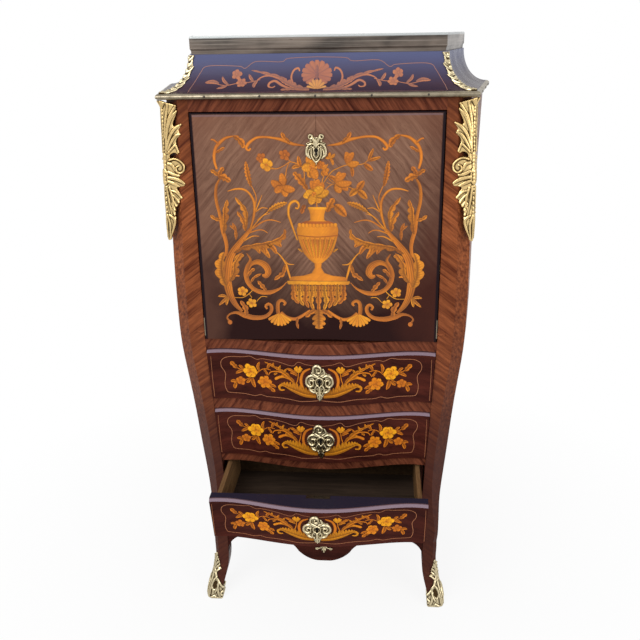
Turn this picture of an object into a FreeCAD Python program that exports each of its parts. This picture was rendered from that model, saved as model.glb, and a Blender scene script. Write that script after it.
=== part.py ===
import FreeCAD
import Part
import math
import os
from FreeCAD import Vector

# Fall-front writing desk with a bombé, serpentine front, a coved cornice and gilt mounts.
# Millimetres. X runs to the viewer's right, Y to the back, Z up from the floor.
# While the solids are made, Y = 0 is the plane of the corner posts beside the fall front.
# At the end they are shifted so that the origin is at the middle of the footprint.

# Heights, stacked from the floor up
LEG_HEIGHT = 165.0
APRON_HEIGHT = 128.0
DRAWER_3_HEIGHT = 112.0
LOWER_RAIL_HEIGHT = 21.0
DRAWER_2_HEIGHT = 132.0
UPPER_RAIL_HEIGHT = 28.0
DRAWER_1_HEIGHT = 132.0
FALL_RAIL_HEIGHT = 25.0
FALL_OPENING_HEIGHT = 510.0
FRIEZE_HEIGHT = 25.0
MOULDING_HEIGHT = 12.0
COVE_HEIGHT = 74.0
BAND_HEIGHT = 36.0

Z_APRON = LEG_HEIGHT
Z_DRAWER_3 = Z_APRON + APRON_HEIGHT
Z_LOWER_RAIL = Z_DRAWER_3 + DRAWER_3_HEIGHT
Z_DRAWER_2 = Z_LOWER_RAIL + LOWER_RAIL_HEIGHT
Z_UPPER_RAIL = Z_DRAWER_2 + DRAWER_2_HEIGHT
Z_DRAWER_1 = Z_UPPER_RAIL + UPPER_RAIL_HEIGHT
Z_FALL_RAIL = Z_DRAWER_1 + DRAWER_1_HEIGHT
Z_FALL = Z_FALL_RAIL + FALL_RAIL_HEIGHT
Z_FRIEZE = Z_FALL + FALL_OPENING_HEIGHT
Z_MOULDING = Z_FRIEZE + FRIEZE_HEIGHT
Z_COVE = Z_MOULDING + MOULDING_HEIGHT
Z_BAND = Z_COVE + COVE_HEIGHT
Z_TOP = Z_BAND + BAND_HEIGHT

# Front outline: half width at the top, how the posts swell out or draw in below it, and how far
# their front lies back
ANKLE_Z = 100.0
INSTEP_Z = 55.0
TOE_Z = 18.0
BELLY_RISE = 100.0
HALF_TOP = 318.0
BELLY_SWELL = 15.0
FALL_RAIL_SWELL = 12.0
DRAWER_1_DRAW_IN = 2.0
DRAWER_2_DRAW_IN = 14.0
DRAWER_3_DRAW_IN = 24.0
APRON_DRAW_IN = 27.0
ANKLE_DRAW_IN = 27.0
TOE_DRAW_IN = 10.5
FOOT_DRAW_IN = 9.0
BACK_OF_FOOT = -6.0
BACK_OF_INSTEP = 18.0
BACK_OF_ANKLE = 34.0
BACK_OF_APRON = 40.0
BACK_OF_DRAWER_3 = 33.0
BACK_OF_DRAWER_2 = 20.0
BACK_OF_DRAWER_1 = 8.0

# Depth, and how much wider each side is at the back than at the front
DEPTH = 340.0
FLARE_TOP = 62.0
FLARE_BELLY = 36.0
FLARE_APRON = 12.0

# Opening between the corner posts
STILE_WIDTH = 51.0
OPENING_TAPER = 19.0
OPENING_HALF = HALF_TOP - STILE_WIDTH
OPENING_HALF_LOW = OPENING_HALF - OPENING_TAPER
APRON_MARGIN = 8.0
APRON_HALF = OPENING_HALF_LOW + APRON_MARGIN

# Corner posts, legs and boards
POST_DEPTH = 75.0
POST_CANT = 30.0
LEG_CANT = 9.0
LEG_WIDTH = 36.0
LEG_DEPTH = 38.0
REAR_POST_WIDTH = 45.0
REAR_POST_DEPTH = 50.0
REAR_LEG_WIDTH = 34.0
LEG_STEP = 40.0
POST_STEP = 90.0
SIDE_THICKNESS = 18.0
SIDE_BOTTOM_RISE = 8.0
SIDE_ARCH_RISE = 26.0
BACK_THICKNESS = 8.0
BACK_INSET = 12.0
RAIL_BACK = 50.0
BOARD_THICKNESS = 12.0

# Serpentine front
BOW_DRAWERS = 26.0
BOW_APRON = 18.0
APRON_THICKNESS = 26.0
KNEE_DROP = 46.0
LOBE_HALF = 102.0
LOBE_DROP = 50.0

# Fall front
FALL_GAP = 2.0
FALL_PROUD = 5.0
FALL_BOW = 8.0
FALL_BACK = 18.0
FALL_ARRIS = 3.5
PIVOT_BEHIND = 1.0
PIVOT_RADIUS = 4.0
PIVOT_FIT = 0.05
PIVOT_IN_FALL = 14.0
PIVOT_IN_POST = 16.0
PIVOT_PLATE = 3.0
PIVOT_PLATE_HEIGHT = 44.0
PIVOT_PLATE_DEPTH = 15.0
LEATHER_THICKNESS = 1.2
LEATHER_MARGIN = 46.0
STAY_RADIUS = 150.0
STAY_WIDTH = 12.0
STAY_THICKNESS = 4.0
STAY_INSET = 15.0
STAY_TENON = 10.0
STAY_TOE = 7.0
STAY_TOE_ANGLE = 3.0
GUIDE_GAP = 1.0
GUIDE_THICKNESS = 5.0
GUIDE_MARGIN = 5.0
GUIDE_FIT = 0.6
STOP_LIP = 12.0

# Drawers
DRAWER_GAP = 1.5
DRAWER_PROUD = 6.0
DRAWER_BEVEL = 7.0
DRAWER_FRONT_THICKNESS = 22.0
DRAWER_SIDE = 10.0
DRAWER_SIDE_INSET = 9.0
DRAWER_BOTTOM = 7.0
DRAWER_BOTTOM_RISE = 9.0
DRAWER_BACK_GAP = 26.0
DRAWER_TOP_SPACE = 9.0
RUN_GAP = 0.3
GUIDE_HEIGHT = 22.0
STOP_HEIGHT = 6.0
STOP_LENGTH = 16.0
STOP_WIDTH = 40.0
STOP_INSET = 120.0
DRAWER_3_PULL = 164.0

# Locks
LOCK_WIDTH = 56.0
LOCK_DEPTH = 13.0
LOCK_BELOW_KEY = 16.0
LOCK_FIT = 0.2
BOLT_WIDTH = 18.0
BOLT_THICKNESS = 5.0
BOLT_HEIGHT = 34.0
BOLT_THROW = 8.0
BOLT_FIT = 0.35

# Writing interior
BED_GAP = 0.6
CASKET_GAP = 6.0
CASKET_FRONT = 95.0
CASKET_BOARD = 10.0
SHELF_THICKNESS = 8.0
SMALL_DRAWER_HEIGHT = 70.0
SMALL_DRAWER_WALL = 6.0
SMALL_DRAWER_GAP = 0.8
PIGEONHOLE_HEIGHT = 190.0
PIGEONHOLE_DIVIDER_AT = 79.0
KNOB_RADIUS = 8.0
KNOB_NECK = 3.0
KNOB_LENGTH = 15.0

# Cornice
CORNICE_OVERHANG = 6.0
MOULDING_REACH = 8.0
COVE_PROJECTION = 57.0
COVE_WALL = 14.0
BAND_THICKNESS = 5.0
SLAB_DROP = 1.5
CORNICE_BACK_THICKNESS = 12.0

# Gilt mounts
FALL_ESCUTCHEON_WIDTH = 47.0
FALL_ESCUTCHEON_HEIGHT = 64.0
FALL_KEY_DROP = 76.0
DRAWER_ESCUTCHEON_WIDTH = 72.0
DRAWER_ESCUTCHEON_HEIGHT = 80.0
ESCUTCHEON_THICKNESS = 5.0
KEYHOLE_RADIUS = 3.2
KEYHOLE_SLOT = 3.6
KEYHOLE_LENGTH = 11.0
CORNER_MOUNT_HEIGHT = 296.0
CORNER_MOUNT_WIDTH = 66.0
CORNER_MOUNT_RELIEF = 9.0
CORNER_MOUNT_SPINE = 17.0
CORNER_MOUNT_DROP = 3.0
COVE_MOUNT_WIDTH = 30.0
COVE_MOUNT_RELIEF = 5.0
SABOT_HEIGHT = 112.0
SABOT_WALL = 3.5
SABOT_SOLE = 3.0
APRON_MOUNT_WIDTH = 50.0
APRON_MOUNT_HEIGHT = 50.0
APRON_MOUNT_RISE = 12.0

# Far enough to reach past the whole desk in a cutting solid
BEYOND = 900.0


def box(x0, x1, y0, y1, z0, z1):
    """Block between two opposite corners."""
    return Part.makeBox(x1 - x0, y1 - y0, z1 - z0, Vector(x0, y0, z0))


def both_sides(solid):
    """The solid and its mirror image across the middle plane, as one group."""
    return Part.makeCompound([solid, mirrored(solid)])


def mirrored(solid):
    return solid.mirror(Vector(0, 0, 0), Vector(1, 0, 0))


def closed(points):
    """Closed polygon wire through the points."""
    return Part.makePolygon([Vector(*p) for p in points] + [Vector(*points[0])])


def loft(wires, ruled=False):
    return Part.makeLoft(wires, True, ruled)


def upright_prism(outline, y0, y1):
    """Front-view outline of (x, z) points, carried from y0 to y1."""
    face = Part.Face(closed([(x, y0, z) for x, z in outline]))
    return face.extrude(Vector(0, y1 - y0, 0))


def along(stations, at):
    """Smooth curve through (height, value) stations, in cubic pieces that don't overshoot."""
    xs = [s[0] for s in stations]
    ys = [s[1] for s in stations]
    count = len(xs)
    if at <= xs[0]:
        return ys[0]
    if at >= xs[-1]:
        return ys[-1]
    steps = [(ys[i + 1] - ys[i]) / (xs[i + 1] - xs[i]) for i in range(count - 1)]
    slopes = [steps[0]] + [0.0] * (count - 2) + [steps[-1]]
    for i in range(1, count - 1):
        if steps[i - 1] * steps[i] > 0:
            slopes[i] = 2 * steps[i - 1] * steps[i] / (steps[i - 1] + steps[i])
    i = max(k for k in range(count - 1) if xs[k] <= at)
    span = xs[i + 1] - xs[i]
    t = (at - xs[i]) / span
    rise = ys[i + 1] - ys[i]
    bend_0 = slopes[i] * span - rise
    bend_1 = rise - slopes[i + 1] * span
    return ys[i] + t * rise + t * (1 - t) * ((1 - t) * bend_0 + t * bend_1)


HALF_STATIONS = [
    (0.0, HALF_TOP - FOOT_DRAW_IN),
    (TOE_Z, HALF_TOP - TOE_DRAW_IN),
    (ANKLE_Z, HALF_TOP - ANKLE_DRAW_IN),
    (Z_APRON, HALF_TOP - APRON_DRAW_IN),
    (Z_DRAWER_3, HALF_TOP - DRAWER_3_DRAW_IN),
    (Z_DRAWER_2, HALF_TOP - DRAWER_2_DRAW_IN),
    (Z_DRAWER_1, HALF_TOP - DRAWER_1_DRAW_IN),
    (Z_FALL_RAIL, HALF_TOP + FALL_RAIL_SWELL),
    (Z_FALL + BELLY_RISE, HALF_TOP + BELLY_SWELL),
    (Z_MOULDING, HALF_TOP),
]
RECESS_STATIONS = [
    (0.0, BACK_OF_FOOT),
    (TOE_Z, BACK_OF_FOOT + 4.0),
    (INSTEP_Z, BACK_OF_INSTEP),
    (ANKLE_Z, BACK_OF_ANKLE),
    (Z_APRON, BACK_OF_APRON),
    (Z_DRAWER_3, BACK_OF_DRAWER_3),
    (Z_DRAWER_2, BACK_OF_DRAWER_2),
    (Z_DRAWER_1, BACK_OF_DRAWER_1),
    (Z_FALL, 0.0),
    (Z_MOULDING, 0.0),
]
FLARE_STATIONS = [
    (0.0, FLARE_APRON),
    (Z_APRON, FLARE_APRON),
    (Z_FALL + BELLY_RISE, FLARE_BELLY),
    (Z_MOULDING, FLARE_TOP),
]
CANT_STATIONS = [
    (0.0, LEG_CANT),
    (Z_APRON, LEG_CANT),
    (Z_DRAWER_2, POST_CANT),
    (Z_MOULDING, POST_CANT),
]
BOW_STATIONS = [
    (0.0, BOW_APRON),
    (Z_APRON, BOW_APRON),
    (Z_DRAWER_2, BOW_DRAWERS),
    (Z_FALL, BOW_DRAWERS),
]
OPENING_STATIONS = [(Z_DRAWER_3, OPENING_HALF_LOW), (Z_FALL, OPENING_HALF)]


def outer_x(z, y):
    """Half width of the case at a height and depth: the sides spread towards the back."""
    return along(HALF_STATIONS, z) + along(FLARE_STATIONS, z) * max(0.0, y) / DEPTH


def front_y(z):
    return along(RECESS_STATIONS, z)


def opening_half(z):
    """Half width between the corner posts, straight and tapering below the fall front."""
    low, high = OPENING_STATIONS
    share = min(1.0, max(0.0, (z - low[0]) / (high[0] - low[0])))
    return low[1] + share * (high[1] - low[1])


def serpentine(x):
    """Bow of the front across its width: 1 in the middle, 0 beside the posts, hollow between."""
    u = x / OPENING_HALF
    return (1 - u * u) * (1 - 2.7 * u * u)


PLAN_POINTS = 12


def plan_wire(z, half, proud, bow, back):
    """Outline seen from above at one height: serpentine front, straight ends and a flat back."""
    row = []
    for i in range(PLAN_POINTS + 1):
        x = half * (2.0 * i / PLAN_POINTS - 1)
        row.append(Vector(x, front_y(z) - proud - bow * serpentine(x), z))
    curve = Part.BSplineCurve()
    curve.interpolate(row)
    right = Vector(half, back, z)
    left = Vector(-half, back, z)
    edges = [curve.toShape()]
    for a, b in ((row[-1], right), (right, left), (left, row[0])):
        edges.append(Part.LineSegment(a, b).toShape())
    return Part.Wire(edges)


def bombe_block(z0, z1, gap, proud, back, bevel=0.0):
    """Block between the posts whose front follows the bombé, serpentine face of the desk."""
    def wire(z, stand):
        return plan_wire(z, opening_half(z) - gap, stand, along(BOW_STATIONS, z), back)

    top = z1 - bevel
    block = loft([wire(z0, proud), wire((z0 + top) / 2, proud), wire(top, proud)])
    if bevel:
        block = block.fuse(loft([wire(top, proud), wire(z1, proud - bevel)], True)).removeSplitter()
    return block


# Case: posts, sides, back and boards


def even_levels(z0, z1, step):
    """Heights from z0 to z1, evenly spaced at about the given step."""
    count = max(2, round((z1 - z0) / step))
    return [z0 + (z1 - z0) * i / count for i in range(count + 1)]


POST_LEVELS = even_levels(Z_APRON, Z_MOULDING, POST_STEP)


def leg_wire(z, grow=0.0):
    """Five-sided section of the right front leg, with its canted corner."""
    outer = outer_x(z, 0.0) + grow
    front = front_y(z) - grow
    inner = outer - LEG_WIDTH - 2 * grow
    rear = front + LEG_DEPTH + 2 * grow
    return five_sided(z, inner, outer, front, rear)


def post_wire(z):
    """Five-sided section of the right front post above the leg."""
    return five_sided(z, OPENING_HALF_LOW - SIDE_THICKNESS, outer_x(z, 0.0), front_y(z), POST_DEPTH)


def five_sided(z, inner, outer, front, rear):
    cant = along(CANT_STATIONS, z)
    spread = outer_x(z, rear) - outer_x(z, 0.0)
    return closed([(inner, front, z), (outer - cant, front, z), (outer, front + cant, z),
                   (outer + spread, rear, z), (inner, rear, z)])


def opening_prism():
    low = Z_APRON - KNEE_DROP
    right = [(APRON_HALF, low), (APRON_HALF, Z_DRAWER_3), (OPENING_HALF_LOW, Z_DRAWER_3),
             (OPENING_HALF, Z_FALL), (OPENING_HALF, Z_MOULDING)]
    left = [(-x, z) for x, z in reversed(right)]
    return upright_prism(right + left, -BEYOND, BEYOND)


def pivot_pin(x0, x1, radius):
    return Part.makeCylinder(radius, x1 - x0, Vector(x0, PIVOT_BEHIND, PIVOT_Z), Vector(1, 0, 0))


def front_post():
    """Corner post and cabriole leg in one piece, on the right."""
    leg = loft([leg_wire(z) for z in even_levels(SABOT_SOLE, Z_APRON, LEG_STEP)])
    post = loft([post_wire(z) for z in POST_LEVELS]).fuse(leg).cut(opening_prism())
    post = post.cut(box(0, BEYOND, POST_DEPTH, BEYOND, -BEYOND, BEYOND + Z_TOP))
    return post.cut(pivot_pin(OPENING_HALF - 1, OPENING_HALF + PIVOT_IN_POST, PIVOT_RADIUS))


REAR_FRONT = DEPTH - BACK_THICKNESS - REAR_POST_DEPTH
REAR_BACK = DEPTH - BACK_THICKNESS


def rear_post_wire(z, width, front):
    level = max(z, Z_APRON)
    near = outer_x(level, front)
    far = outer_x(level, REAR_BACK)
    return closed([(near - width, front, z), (near, front, z), (far, REAR_BACK, z),
                   (far - width, REAR_BACK, z)])


def rear_post():
    """Rear post and its plain leg, on the right."""
    leg_front = REAR_BACK - REAR_LEG_WIDTH
    leg = loft([rear_post_wire(z, REAR_LEG_WIDTH, leg_front) for z in even_levels(0.0, Z_APRON, LEG_STEP)])
    return loft([rear_post_wire(z, REAR_POST_WIDTH, REAR_FRONT) for z in POST_LEVELS]).fuse(leg)


def side_wire(z):
    near = outer_x(z, POST_DEPTH)
    far = outer_x(z, REAR_FRONT)
    return closed([(near - SIDE_THICKNESS, POST_DEPTH, z), (near, POST_DEPTH, z),
                   (far, REAR_FRONT, z), (far - SIDE_THICKNESS, REAR_FRONT, z)])


def side_panel():
    """Bombé side on the right, hollowed along its lower edge."""
    bottom = Z_APRON + SIDE_BOTTOM_RISE
    panel = loft([side_wire(z) for z in even_levels(bottom, Z_MOULDING, POST_STEP)])
    half_span = (REAR_FRONT - POST_DEPTH) / 2
    radius = (half_span ** 2 + SIDE_ARCH_RISE ** 2) / (2 * SIDE_ARCH_RISE)
    centre = Vector(0, POST_DEPTH + half_span, bottom + SIDE_ARCH_RISE - radius)
    return panel.cut(Part.makeCylinder(radius, BEYOND, centre, Vector(1, 0, 0)))


def back_panel():
    levels = [Z_APRON + SIDE_BOTTOM_RISE] + POST_LEVELS[1:]
    right = [(outer_x(z, REAR_BACK) - BACK_INSET, z) for z in levels]
    left = [(-x, z) for x, z in reversed(right)]
    return upright_prism(right + left, REAR_BACK, DEPTH)


def board_below(z):
    """Dust board whose top is at z, between the rail in front and the back panel."""
    half = opening_half(z - BOARD_THICKNESS)
    return box(-half, half, RAIL_BACK, REAR_BACK, z - BOARD_THICKNESS, z)


def stay_slot():
    """Clearance in the board under the writing bed for the ends of the quadrant stays."""
    near = PIVOT_BEHIND + STAY_RADIUS - STAY_WIDTH
    far = PIVOT_BEHIND + STAY_RADIUS + STAY_WIDTH + STAY_TOE
    return both_sides(box(STAY_X - STAY_THICKNESS, STAY_X + 2 * STAY_THICKNESS, near, far,
                          Z_FALL - BOARD_THICKNESS - 1, Z_FALL + 1))


def dust_boards():
    upper = board_below(Z_FALL).cut(stay_slot())
    apron_back = front_y(Z_APRON) + APRON_THICKNESS
    half = OPENING_HALF_LOW
    lowest = box(-half, half, apron_back, REAR_BACK, Z_DRAWER_3 - BOARD_THICKNESS, Z_DRAWER_3)
    return Part.makeCompound([upper, board_below(Z_DRAWER_1), board_below(Z_DRAWER_2), lowest])


def apron_outline():
    """Front view of the apron: knee brackets beside the legs and a lobe in the middle."""
    half = APRON_HALF
    knee = KNEE_DROP
    shoulder = LOBE_HALF * 0.42
    right = [
        Part.LineSegment(Vector(half, 0, Z_DRAWER_3), Vector(half, 0, Z_APRON - knee)),
        Part.Arc(Vector(half, 0, Z_APRON - knee),
                 Vector(half - knee * 0.293, 0, Z_APRON - knee * 0.293),
                 Vector(half - knee, 0, Z_APRON)),
        Part.LineSegment(Vector(half - knee, 0, Z_APRON), Vector(LOBE_HALF, 0, Z_APRON)),
        Part.Arc(Vector(LOBE_HALF, 0, Z_APRON), Vector(LOBE_HALF * 0.80, 0, Z_APRON - LOBE_DROP * 0.20),
                 Vector(LOBE_HALF * 0.66, 0, Z_APRON - LOBE_DROP * 0.52)),
        Part.Arc(Vector(LOBE_HALF * 0.66, 0, Z_APRON - LOBE_DROP * 0.52),
                 Vector(shoulder, 0, Z_APRON - LOBE_DROP * 0.86), Vector(0, 0, Z_APRON - LOBE_DROP)),
    ]
    edges = [curve.toShape() for curve in right]
    edges += [mirrored(edge) for edge in edges]
    edges.append(Part.LineSegment(Vector(half, 0, Z_DRAWER_3), Vector(-half, 0, Z_DRAWER_3)).toShape())
    return Part.Wire(Part.__sortEdges__(edges))


def apron():
    low = Z_APRON - max(LOBE_DROP, KNEE_DROP)
    back = front_y(Z_APRON) + APRON_THICKNESS
    wires = []
    for z in (low, Z_APRON, Z_DRAWER_3):
        wires.append(plan_wire(z, APRON_HALF, 0.0, along(BOW_STATIONS, z), back))
    outline = Part.Face(apron_outline())
    outline.translate(Vector(0, -BEYOND, 0))
    return loft(wires).common(outline.extrude(Vector(0, 2 * BEYOND, 0)))


def rail(z0, z1, bolt_y):
    """Serpentine rail with a mortise in its underside for the bolt of the drawer below."""
    return bombe_block(z0, z1, 0.0, 0.0, RAIL_BACK).cut(bolt_space(bolt_y, z0, z0 + BOLT_THROW + 1))


def frieze_rail():
    """Rail over the fall front, with a lip behind that the closed fall rests against."""
    front = box(-OPENING_HALF, OPENING_HALF, 0, RAIL_BACK, Z_FRIEZE, Z_MOULDING)
    lip = box(-OPENING_HALF, OPENING_HALF, FALL_BACK + RUN_GAP, RAIL_BACK, Z_FRIEZE - STOP_LIP, Z_FRIEZE)
    mortise = bolt_space(FALL_BOLT_Y, Z_FRIEZE - 1, Z_FRIEZE + BOLT_THROW + 1)
    return front.fuse(lip).removeSplitter().cut(mortise)


# Cornice: top board, brass moulding, cove, band and top


def case_plan(inset, z):
    """Trapezoid seen from above, inset from the edge of the top board and flush at the back."""
    half = HALF_TOP + CORNICE_OVERHANG - inset
    front = inset - CORNICE_OVERHANG
    return closed([(-half, front, z), (half, front, z), (half + FLARE_TOP, DEPTH, z),
                   (-half - FLARE_TOP, DEPTH, z)])


def slab(inset, z0, z1):
    return Part.Face(case_plan(inset, z0)).extrude(Vector(0, 0, z1 - z0))


def edge_moulding(inset, z, section):
    """A section of (outward, up) edges carried round the front and both sides with mitred corners."""
    half = HALF_TOP + CORNICE_OVERHANG - inset
    front = inset - CORNICE_OVERHANG
    corners = [Vector(half + FLARE_TOP, DEPTH, z), Vector(half, front, z), Vector(-half, front, z),
               Vector(-half - FLARE_TOP, DEPTH, z)]
    run = corners[1] - corners[0]
    run.normalize()
    outward = Vector(-run.y, run.x, 0)
    if outward.x < 0:
        outward = outward * -1
    placed = [corners[0] + outward * p[0] + Vector(0, 0, p[1]) for p in section]
    profile = Part.makePolygon(placed + [placed[0]])
    return Part.makePolygon(corners).makePipeShell([profile], True, False, 1)


def brass_moulding():
    """Half-round brass moulding nailed round the top board."""
    section = [(0.0, 0.0)]
    for i in range(9):
        turn = math.pi * i / 8
        section.append((MOULDING_REACH * math.sin(turn), MOULDING_HEIGHT * (1 - math.cos(turn)) / 2))
    return edge_moulding(0.0, Z_MOULDING, section[1:])


def cove_loft(grow, lift):
    """Concave, flaring body of the cornice between the moulding and the band."""
    wires = []
    for step in range(6):
        turn = math.pi / 2 * step / 5
        inset = COVE_PROJECTION * math.cos(math.pi / 2 - turn)
        rise = COVE_HEIGHT * (1 - math.cos(turn))
        wires.append(case_plan(inset - grow, Z_COVE + rise + lift))
    return loft(wires)


def cove():
    return cove_loft(0.0, 0.0).cut(cove_hollow())


def cove_hollow():
    inset = COVE_PROJECTION + COVE_WALL
    half = HALF_TOP + CORNICE_OVERHANG - inset
    front = inset - CORNICE_OVERHANG
    plan = closed([(-half, front, Z_COVE - 1), (half, front, Z_COVE - 1),
                   (half + FLARE_TOP, DEPTH + 1, Z_COVE - 1), (-half - FLARE_TOP, DEPTH + 1, Z_COVE - 1)])
    return Part.Face(plan).extrude(Vector(0, 0, COVE_HEIGHT + 2))


def mitre_wedge():
    """Everything in front of the two mitre planes of the cove."""
    reach = HALF_TOP
    plan = closed([(-reach - BEYOND, -BEYOND, 0), (reach + BEYOND, -BEYOND, 0), (0, reach, 0)])
    return Part.Face(plan).extrude(Vector(0, 0, Z_TOP + BEYOND))


def cornice_back():
    half = HALF_TOP + CORNICE_OVERHANG - COVE_PROJECTION - COVE_WALL
    front = DEPTH - CORNICE_BACK_THICKNESS
    near = half + FLARE_TOP * (front - COVE_PROJECTION - COVE_WALL) / (DEPTH - COVE_PROJECTION - COVE_WALL)
    return box(-near, near, front, DEPTH, Z_COVE, Z_BAND)


def top_band():
    """Polished brass band round the top, hollowed along its lower edge."""
    section = [(0.0, 0.0), (BAND_THICKNESS * 0.4, 0.0), (BAND_THICKNESS * 0.55, BAND_HEIGHT * 0.2),
               (BAND_THICKNESS, BAND_HEIGHT * 0.3), (BAND_THICKNESS, BAND_HEIGHT * 0.92),
               (BAND_THICKNESS * 0.7, BAND_HEIGHT), (0.0, BAND_HEIGHT)]
    return edge_moulding(COVE_PROJECTION + BAND_THICKNESS, Z_BAND, section)


def top_slab():
    return slab(COVE_PROJECTION + BAND_THICKNESS, Z_BAND, Z_TOP - SLAB_DROP)


# Fall front and what moves with it


FALL_HALF = OPENING_HALF - FALL_GAP
FALL_NOSE = FALL_BACK - PIVOT_BEHIND
PIVOT_Z = Z_FALL + FALL_GAP + FALL_NOSE
FALL_TOP = Z_FRIEZE - FALL_GAP
FALL_BOLT_Y = FALL_BACK - LOCK_DEPTH / 2
STAY_X = OPENING_HALF - STAY_INSET
GUIDE_FRONT = FALL_BACK + GUIDE_GAP
STOP_Y = GUIDE_FRONT + GUIDE_THICKNESS + RUN_GAP - PIVOT_BEHIND
STAY_SWEEP = 90 + math.degrees(math.asin(STOP_Y / (STAY_RADIUS + STAY_WIDTH / 2))) + STAY_TOE_ANGLE
KEY_Z_FALL = FALL_TOP - FALL_KEY_DROP


def bolt_space(y, z0, z1):
    half = BOLT_WIDTH / 2 + BOLT_FIT
    deep = BOLT_THICKNESS / 2 + BOLT_FIT
    return box(-half, half, y - deep, y + deep, z0, z1)


def lock_space(back, top, key_z):
    """Recess for a lock let into the back of a front, open at the top edge."""
    return box(-LOCK_WIDTH / 2, LOCK_WIDTH / 2, back - LOCK_DEPTH, back + 1, key_z - LOCK_BELOW_KEY, top + 1)


def lock_case(back, top, key_z, bolt_y):
    half = LOCK_WIDTH / 2 - LOCK_FIT
    case = box(-half, half, back - LOCK_DEPTH, back, key_z - LOCK_BELOW_KEY + LOCK_FIT, top)
    return case.cut(bolt_space(bolt_y, top - BOLT_HEIGHT - BOLT_FIT, top + 1))


def bolt(top, bolt_y):
    half = BOLT_WIDTH / 2
    deep = BOLT_THICKNESS / 2
    return box(-half, half, bolt_y - deep, bolt_y + deep, top - BOLT_HEIGHT, top - BOLT_FIT)


def leather_space(thickness):
    half = FALL_HALF - LEATHER_MARGIN
    return box(-half, half, FALL_BACK - thickness, FALL_BACK, PIVOT_Z + LEATHER_MARGIN,
               KEY_Z_FALL - LOCK_BELOW_KEY - LEATHER_MARGIN / 2)


def pivot_recess():
    """Recess in the right end of the fall for the plate that is bored for the pivot pin."""
    front = PIVOT_BEHIND - PIVOT_PLATE_DEPTH / 3
    low = PIVOT_Z - FALL_NOSE / 2
    return box(FALL_HALF - PIVOT_PLATE, FALL_HALF + 1, front, front + PIVOT_PLATE_DEPTH,
               low, low + PIVOT_PLATE_HEIGHT)


def stay_bar():
    """Quarter-round brass stay on the right, centred on the fall's pivot, with a stop at its end."""
    inner = STAY_RADIUS - STAY_WIDTH / 2
    outer = STAY_RADIUS + STAY_WIDTH / 2
    start = math.degrees(math.asin((FALL_NOSE - STAY_TENON) / STAY_RADIUS))
    bar = stay_arc(inner, outer, start, STAY_SWEEP, 0.0)
    toe = stay_arc(STAY_RADIUS, outer + STAY_TOE, STAY_SWEEP - STAY_TOE_ANGLE, STAY_SWEEP, 0.0)
    return bar.fuse(toe).removeSplitter()


def stay_arc(inner, outer, start, end, fit):
    """Flat ring sector about the pivot, angles in degrees measured from upright towards the back."""
    def at(radius, angle):
        turn = math.radians(angle)
        return Vector(STAY_X - fit, PIVOT_BEHIND + radius * math.sin(turn), PIVOT_Z + radius * math.cos(turn))

    middle = (start + end) / 2
    edges = [
        Part.Arc(at(outer, start), at(outer, middle), at(outer, end)).toShape(),
        Part.LineSegment(at(outer, end), at(inner, end)).toShape(),
        Part.Arc(at(inner, end), at(inner, middle), at(inner, start)).toShape(),
        Part.LineSegment(at(inner, start), at(outer, start)).toShape(),
    ]
    return Part.Face(Part.Wire(edges)).extrude(Vector(STAY_THICKNESS + 2 * fit, 0, 0))


def fall_nose():
    """Round bar about the pivots that the lower edge of the fall is shaped to."""
    return pivot_pin(-FALL_HALF, FALL_HALF, FALL_NOSE)


def fall_panel():
    """Bowed panel with a half-round lower edge about its pivots and a flat writing face behind."""
    outline = plan_wire(Z_FALL, FALL_HALF, FALL_PROUD, FALL_BOW, FALL_BACK)
    panel = Part.Face(outline).extrude(Vector(0, 0, FALL_TOP - Z_FALL))
    above = box(-BEYOND, BEYOND, -BEYOND, BEYOND, PIVOT_Z, FALL_TOP)
    panel = panel.common(above).fuse(panel.common(fall_nose())).removeSplitter()
    arrises = []
    for edge in panel.Edges:
        middle = edge.valueAt((edge.FirstParameter + edge.LastParameter) / 2)
        on_top = abs(middle.z - FALL_TOP) < 0.01 and middle.y < 0
        on_end = abs(abs(middle.x) - FALL_HALF) < 0.01 and middle.y < 1 - FALL_PROUD
        if on_top and edge.BoundBox.XLength > FALL_HALF:
            arrises.append(edge)
        elif on_end and edge.BoundBox.ZLength > FALL_NOSE * 2:
            arrises.append(edge)
    panel = panel.makeFillet(FALL_ARRIS, arrises)
    panel = panel.cut(lock_space(FALL_BACK, FALL_TOP, KEY_Z_FALL)).cut(leather_space(LEATHER_THICKNESS))
    reach = pivot_pin(FALL_HALF - PIVOT_IN_FALL - 1, FALL_HALF + 1, PIVOT_RADIUS + PIVOT_FIT)
    for cutter in (pivot_recess(), reach, stay_bar()):
        panel = panel.cut(both_sides(cutter))
    return panel


def pivot_plates():
    plate = pivot_recess().common(box(0, FALL_HALF, -BEYOND, BEYOND, 0, Z_TOP))
    above = box(-BEYOND, BEYOND, -BEYOND, BEYOND, PIVOT_Z, Z_TOP)
    plate = plate.common(fall_nose().fuse(above))
    return both_sides(plate.cut(pivot_pin(0, BEYOND, PIVOT_RADIUS + PIVOT_FIT)))


def fall_pivots():
    return both_sides(pivot_pin(FALL_HALF - PIVOT_IN_FALL, OPENING_HALF + PIVOT_IN_POST, PIVOT_RADIUS))


def stay_guides():
    """Brass brackets on the posts that the stays run through and that stop their toes."""
    rear = GUIDE_FRONT + GUIDE_THICKNESS
    half = STAY_WIDTH / 2 + GUIDE_MARGIN
    middle = PIVOT_Z + math.sqrt(STAY_RADIUS ** 2 - ((GUIDE_FRONT + rear) / 2 - PIVOT_BEHIND) ** 2)
    bracket = box(STAY_X - GUIDE_MARGIN, OPENING_HALF, GUIDE_FRONT, rear, middle - half, middle + half)
    slot_half = STAY_WIDTH / 2 + GUIDE_FIT
    slot = stay_arc(STAY_RADIUS - slot_half, STAY_RADIUS + slot_half, 0.0, STAY_SWEEP / 2, GUIDE_FIT)
    return both_sides(bracket.cut(slot))


# Drawers


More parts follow.
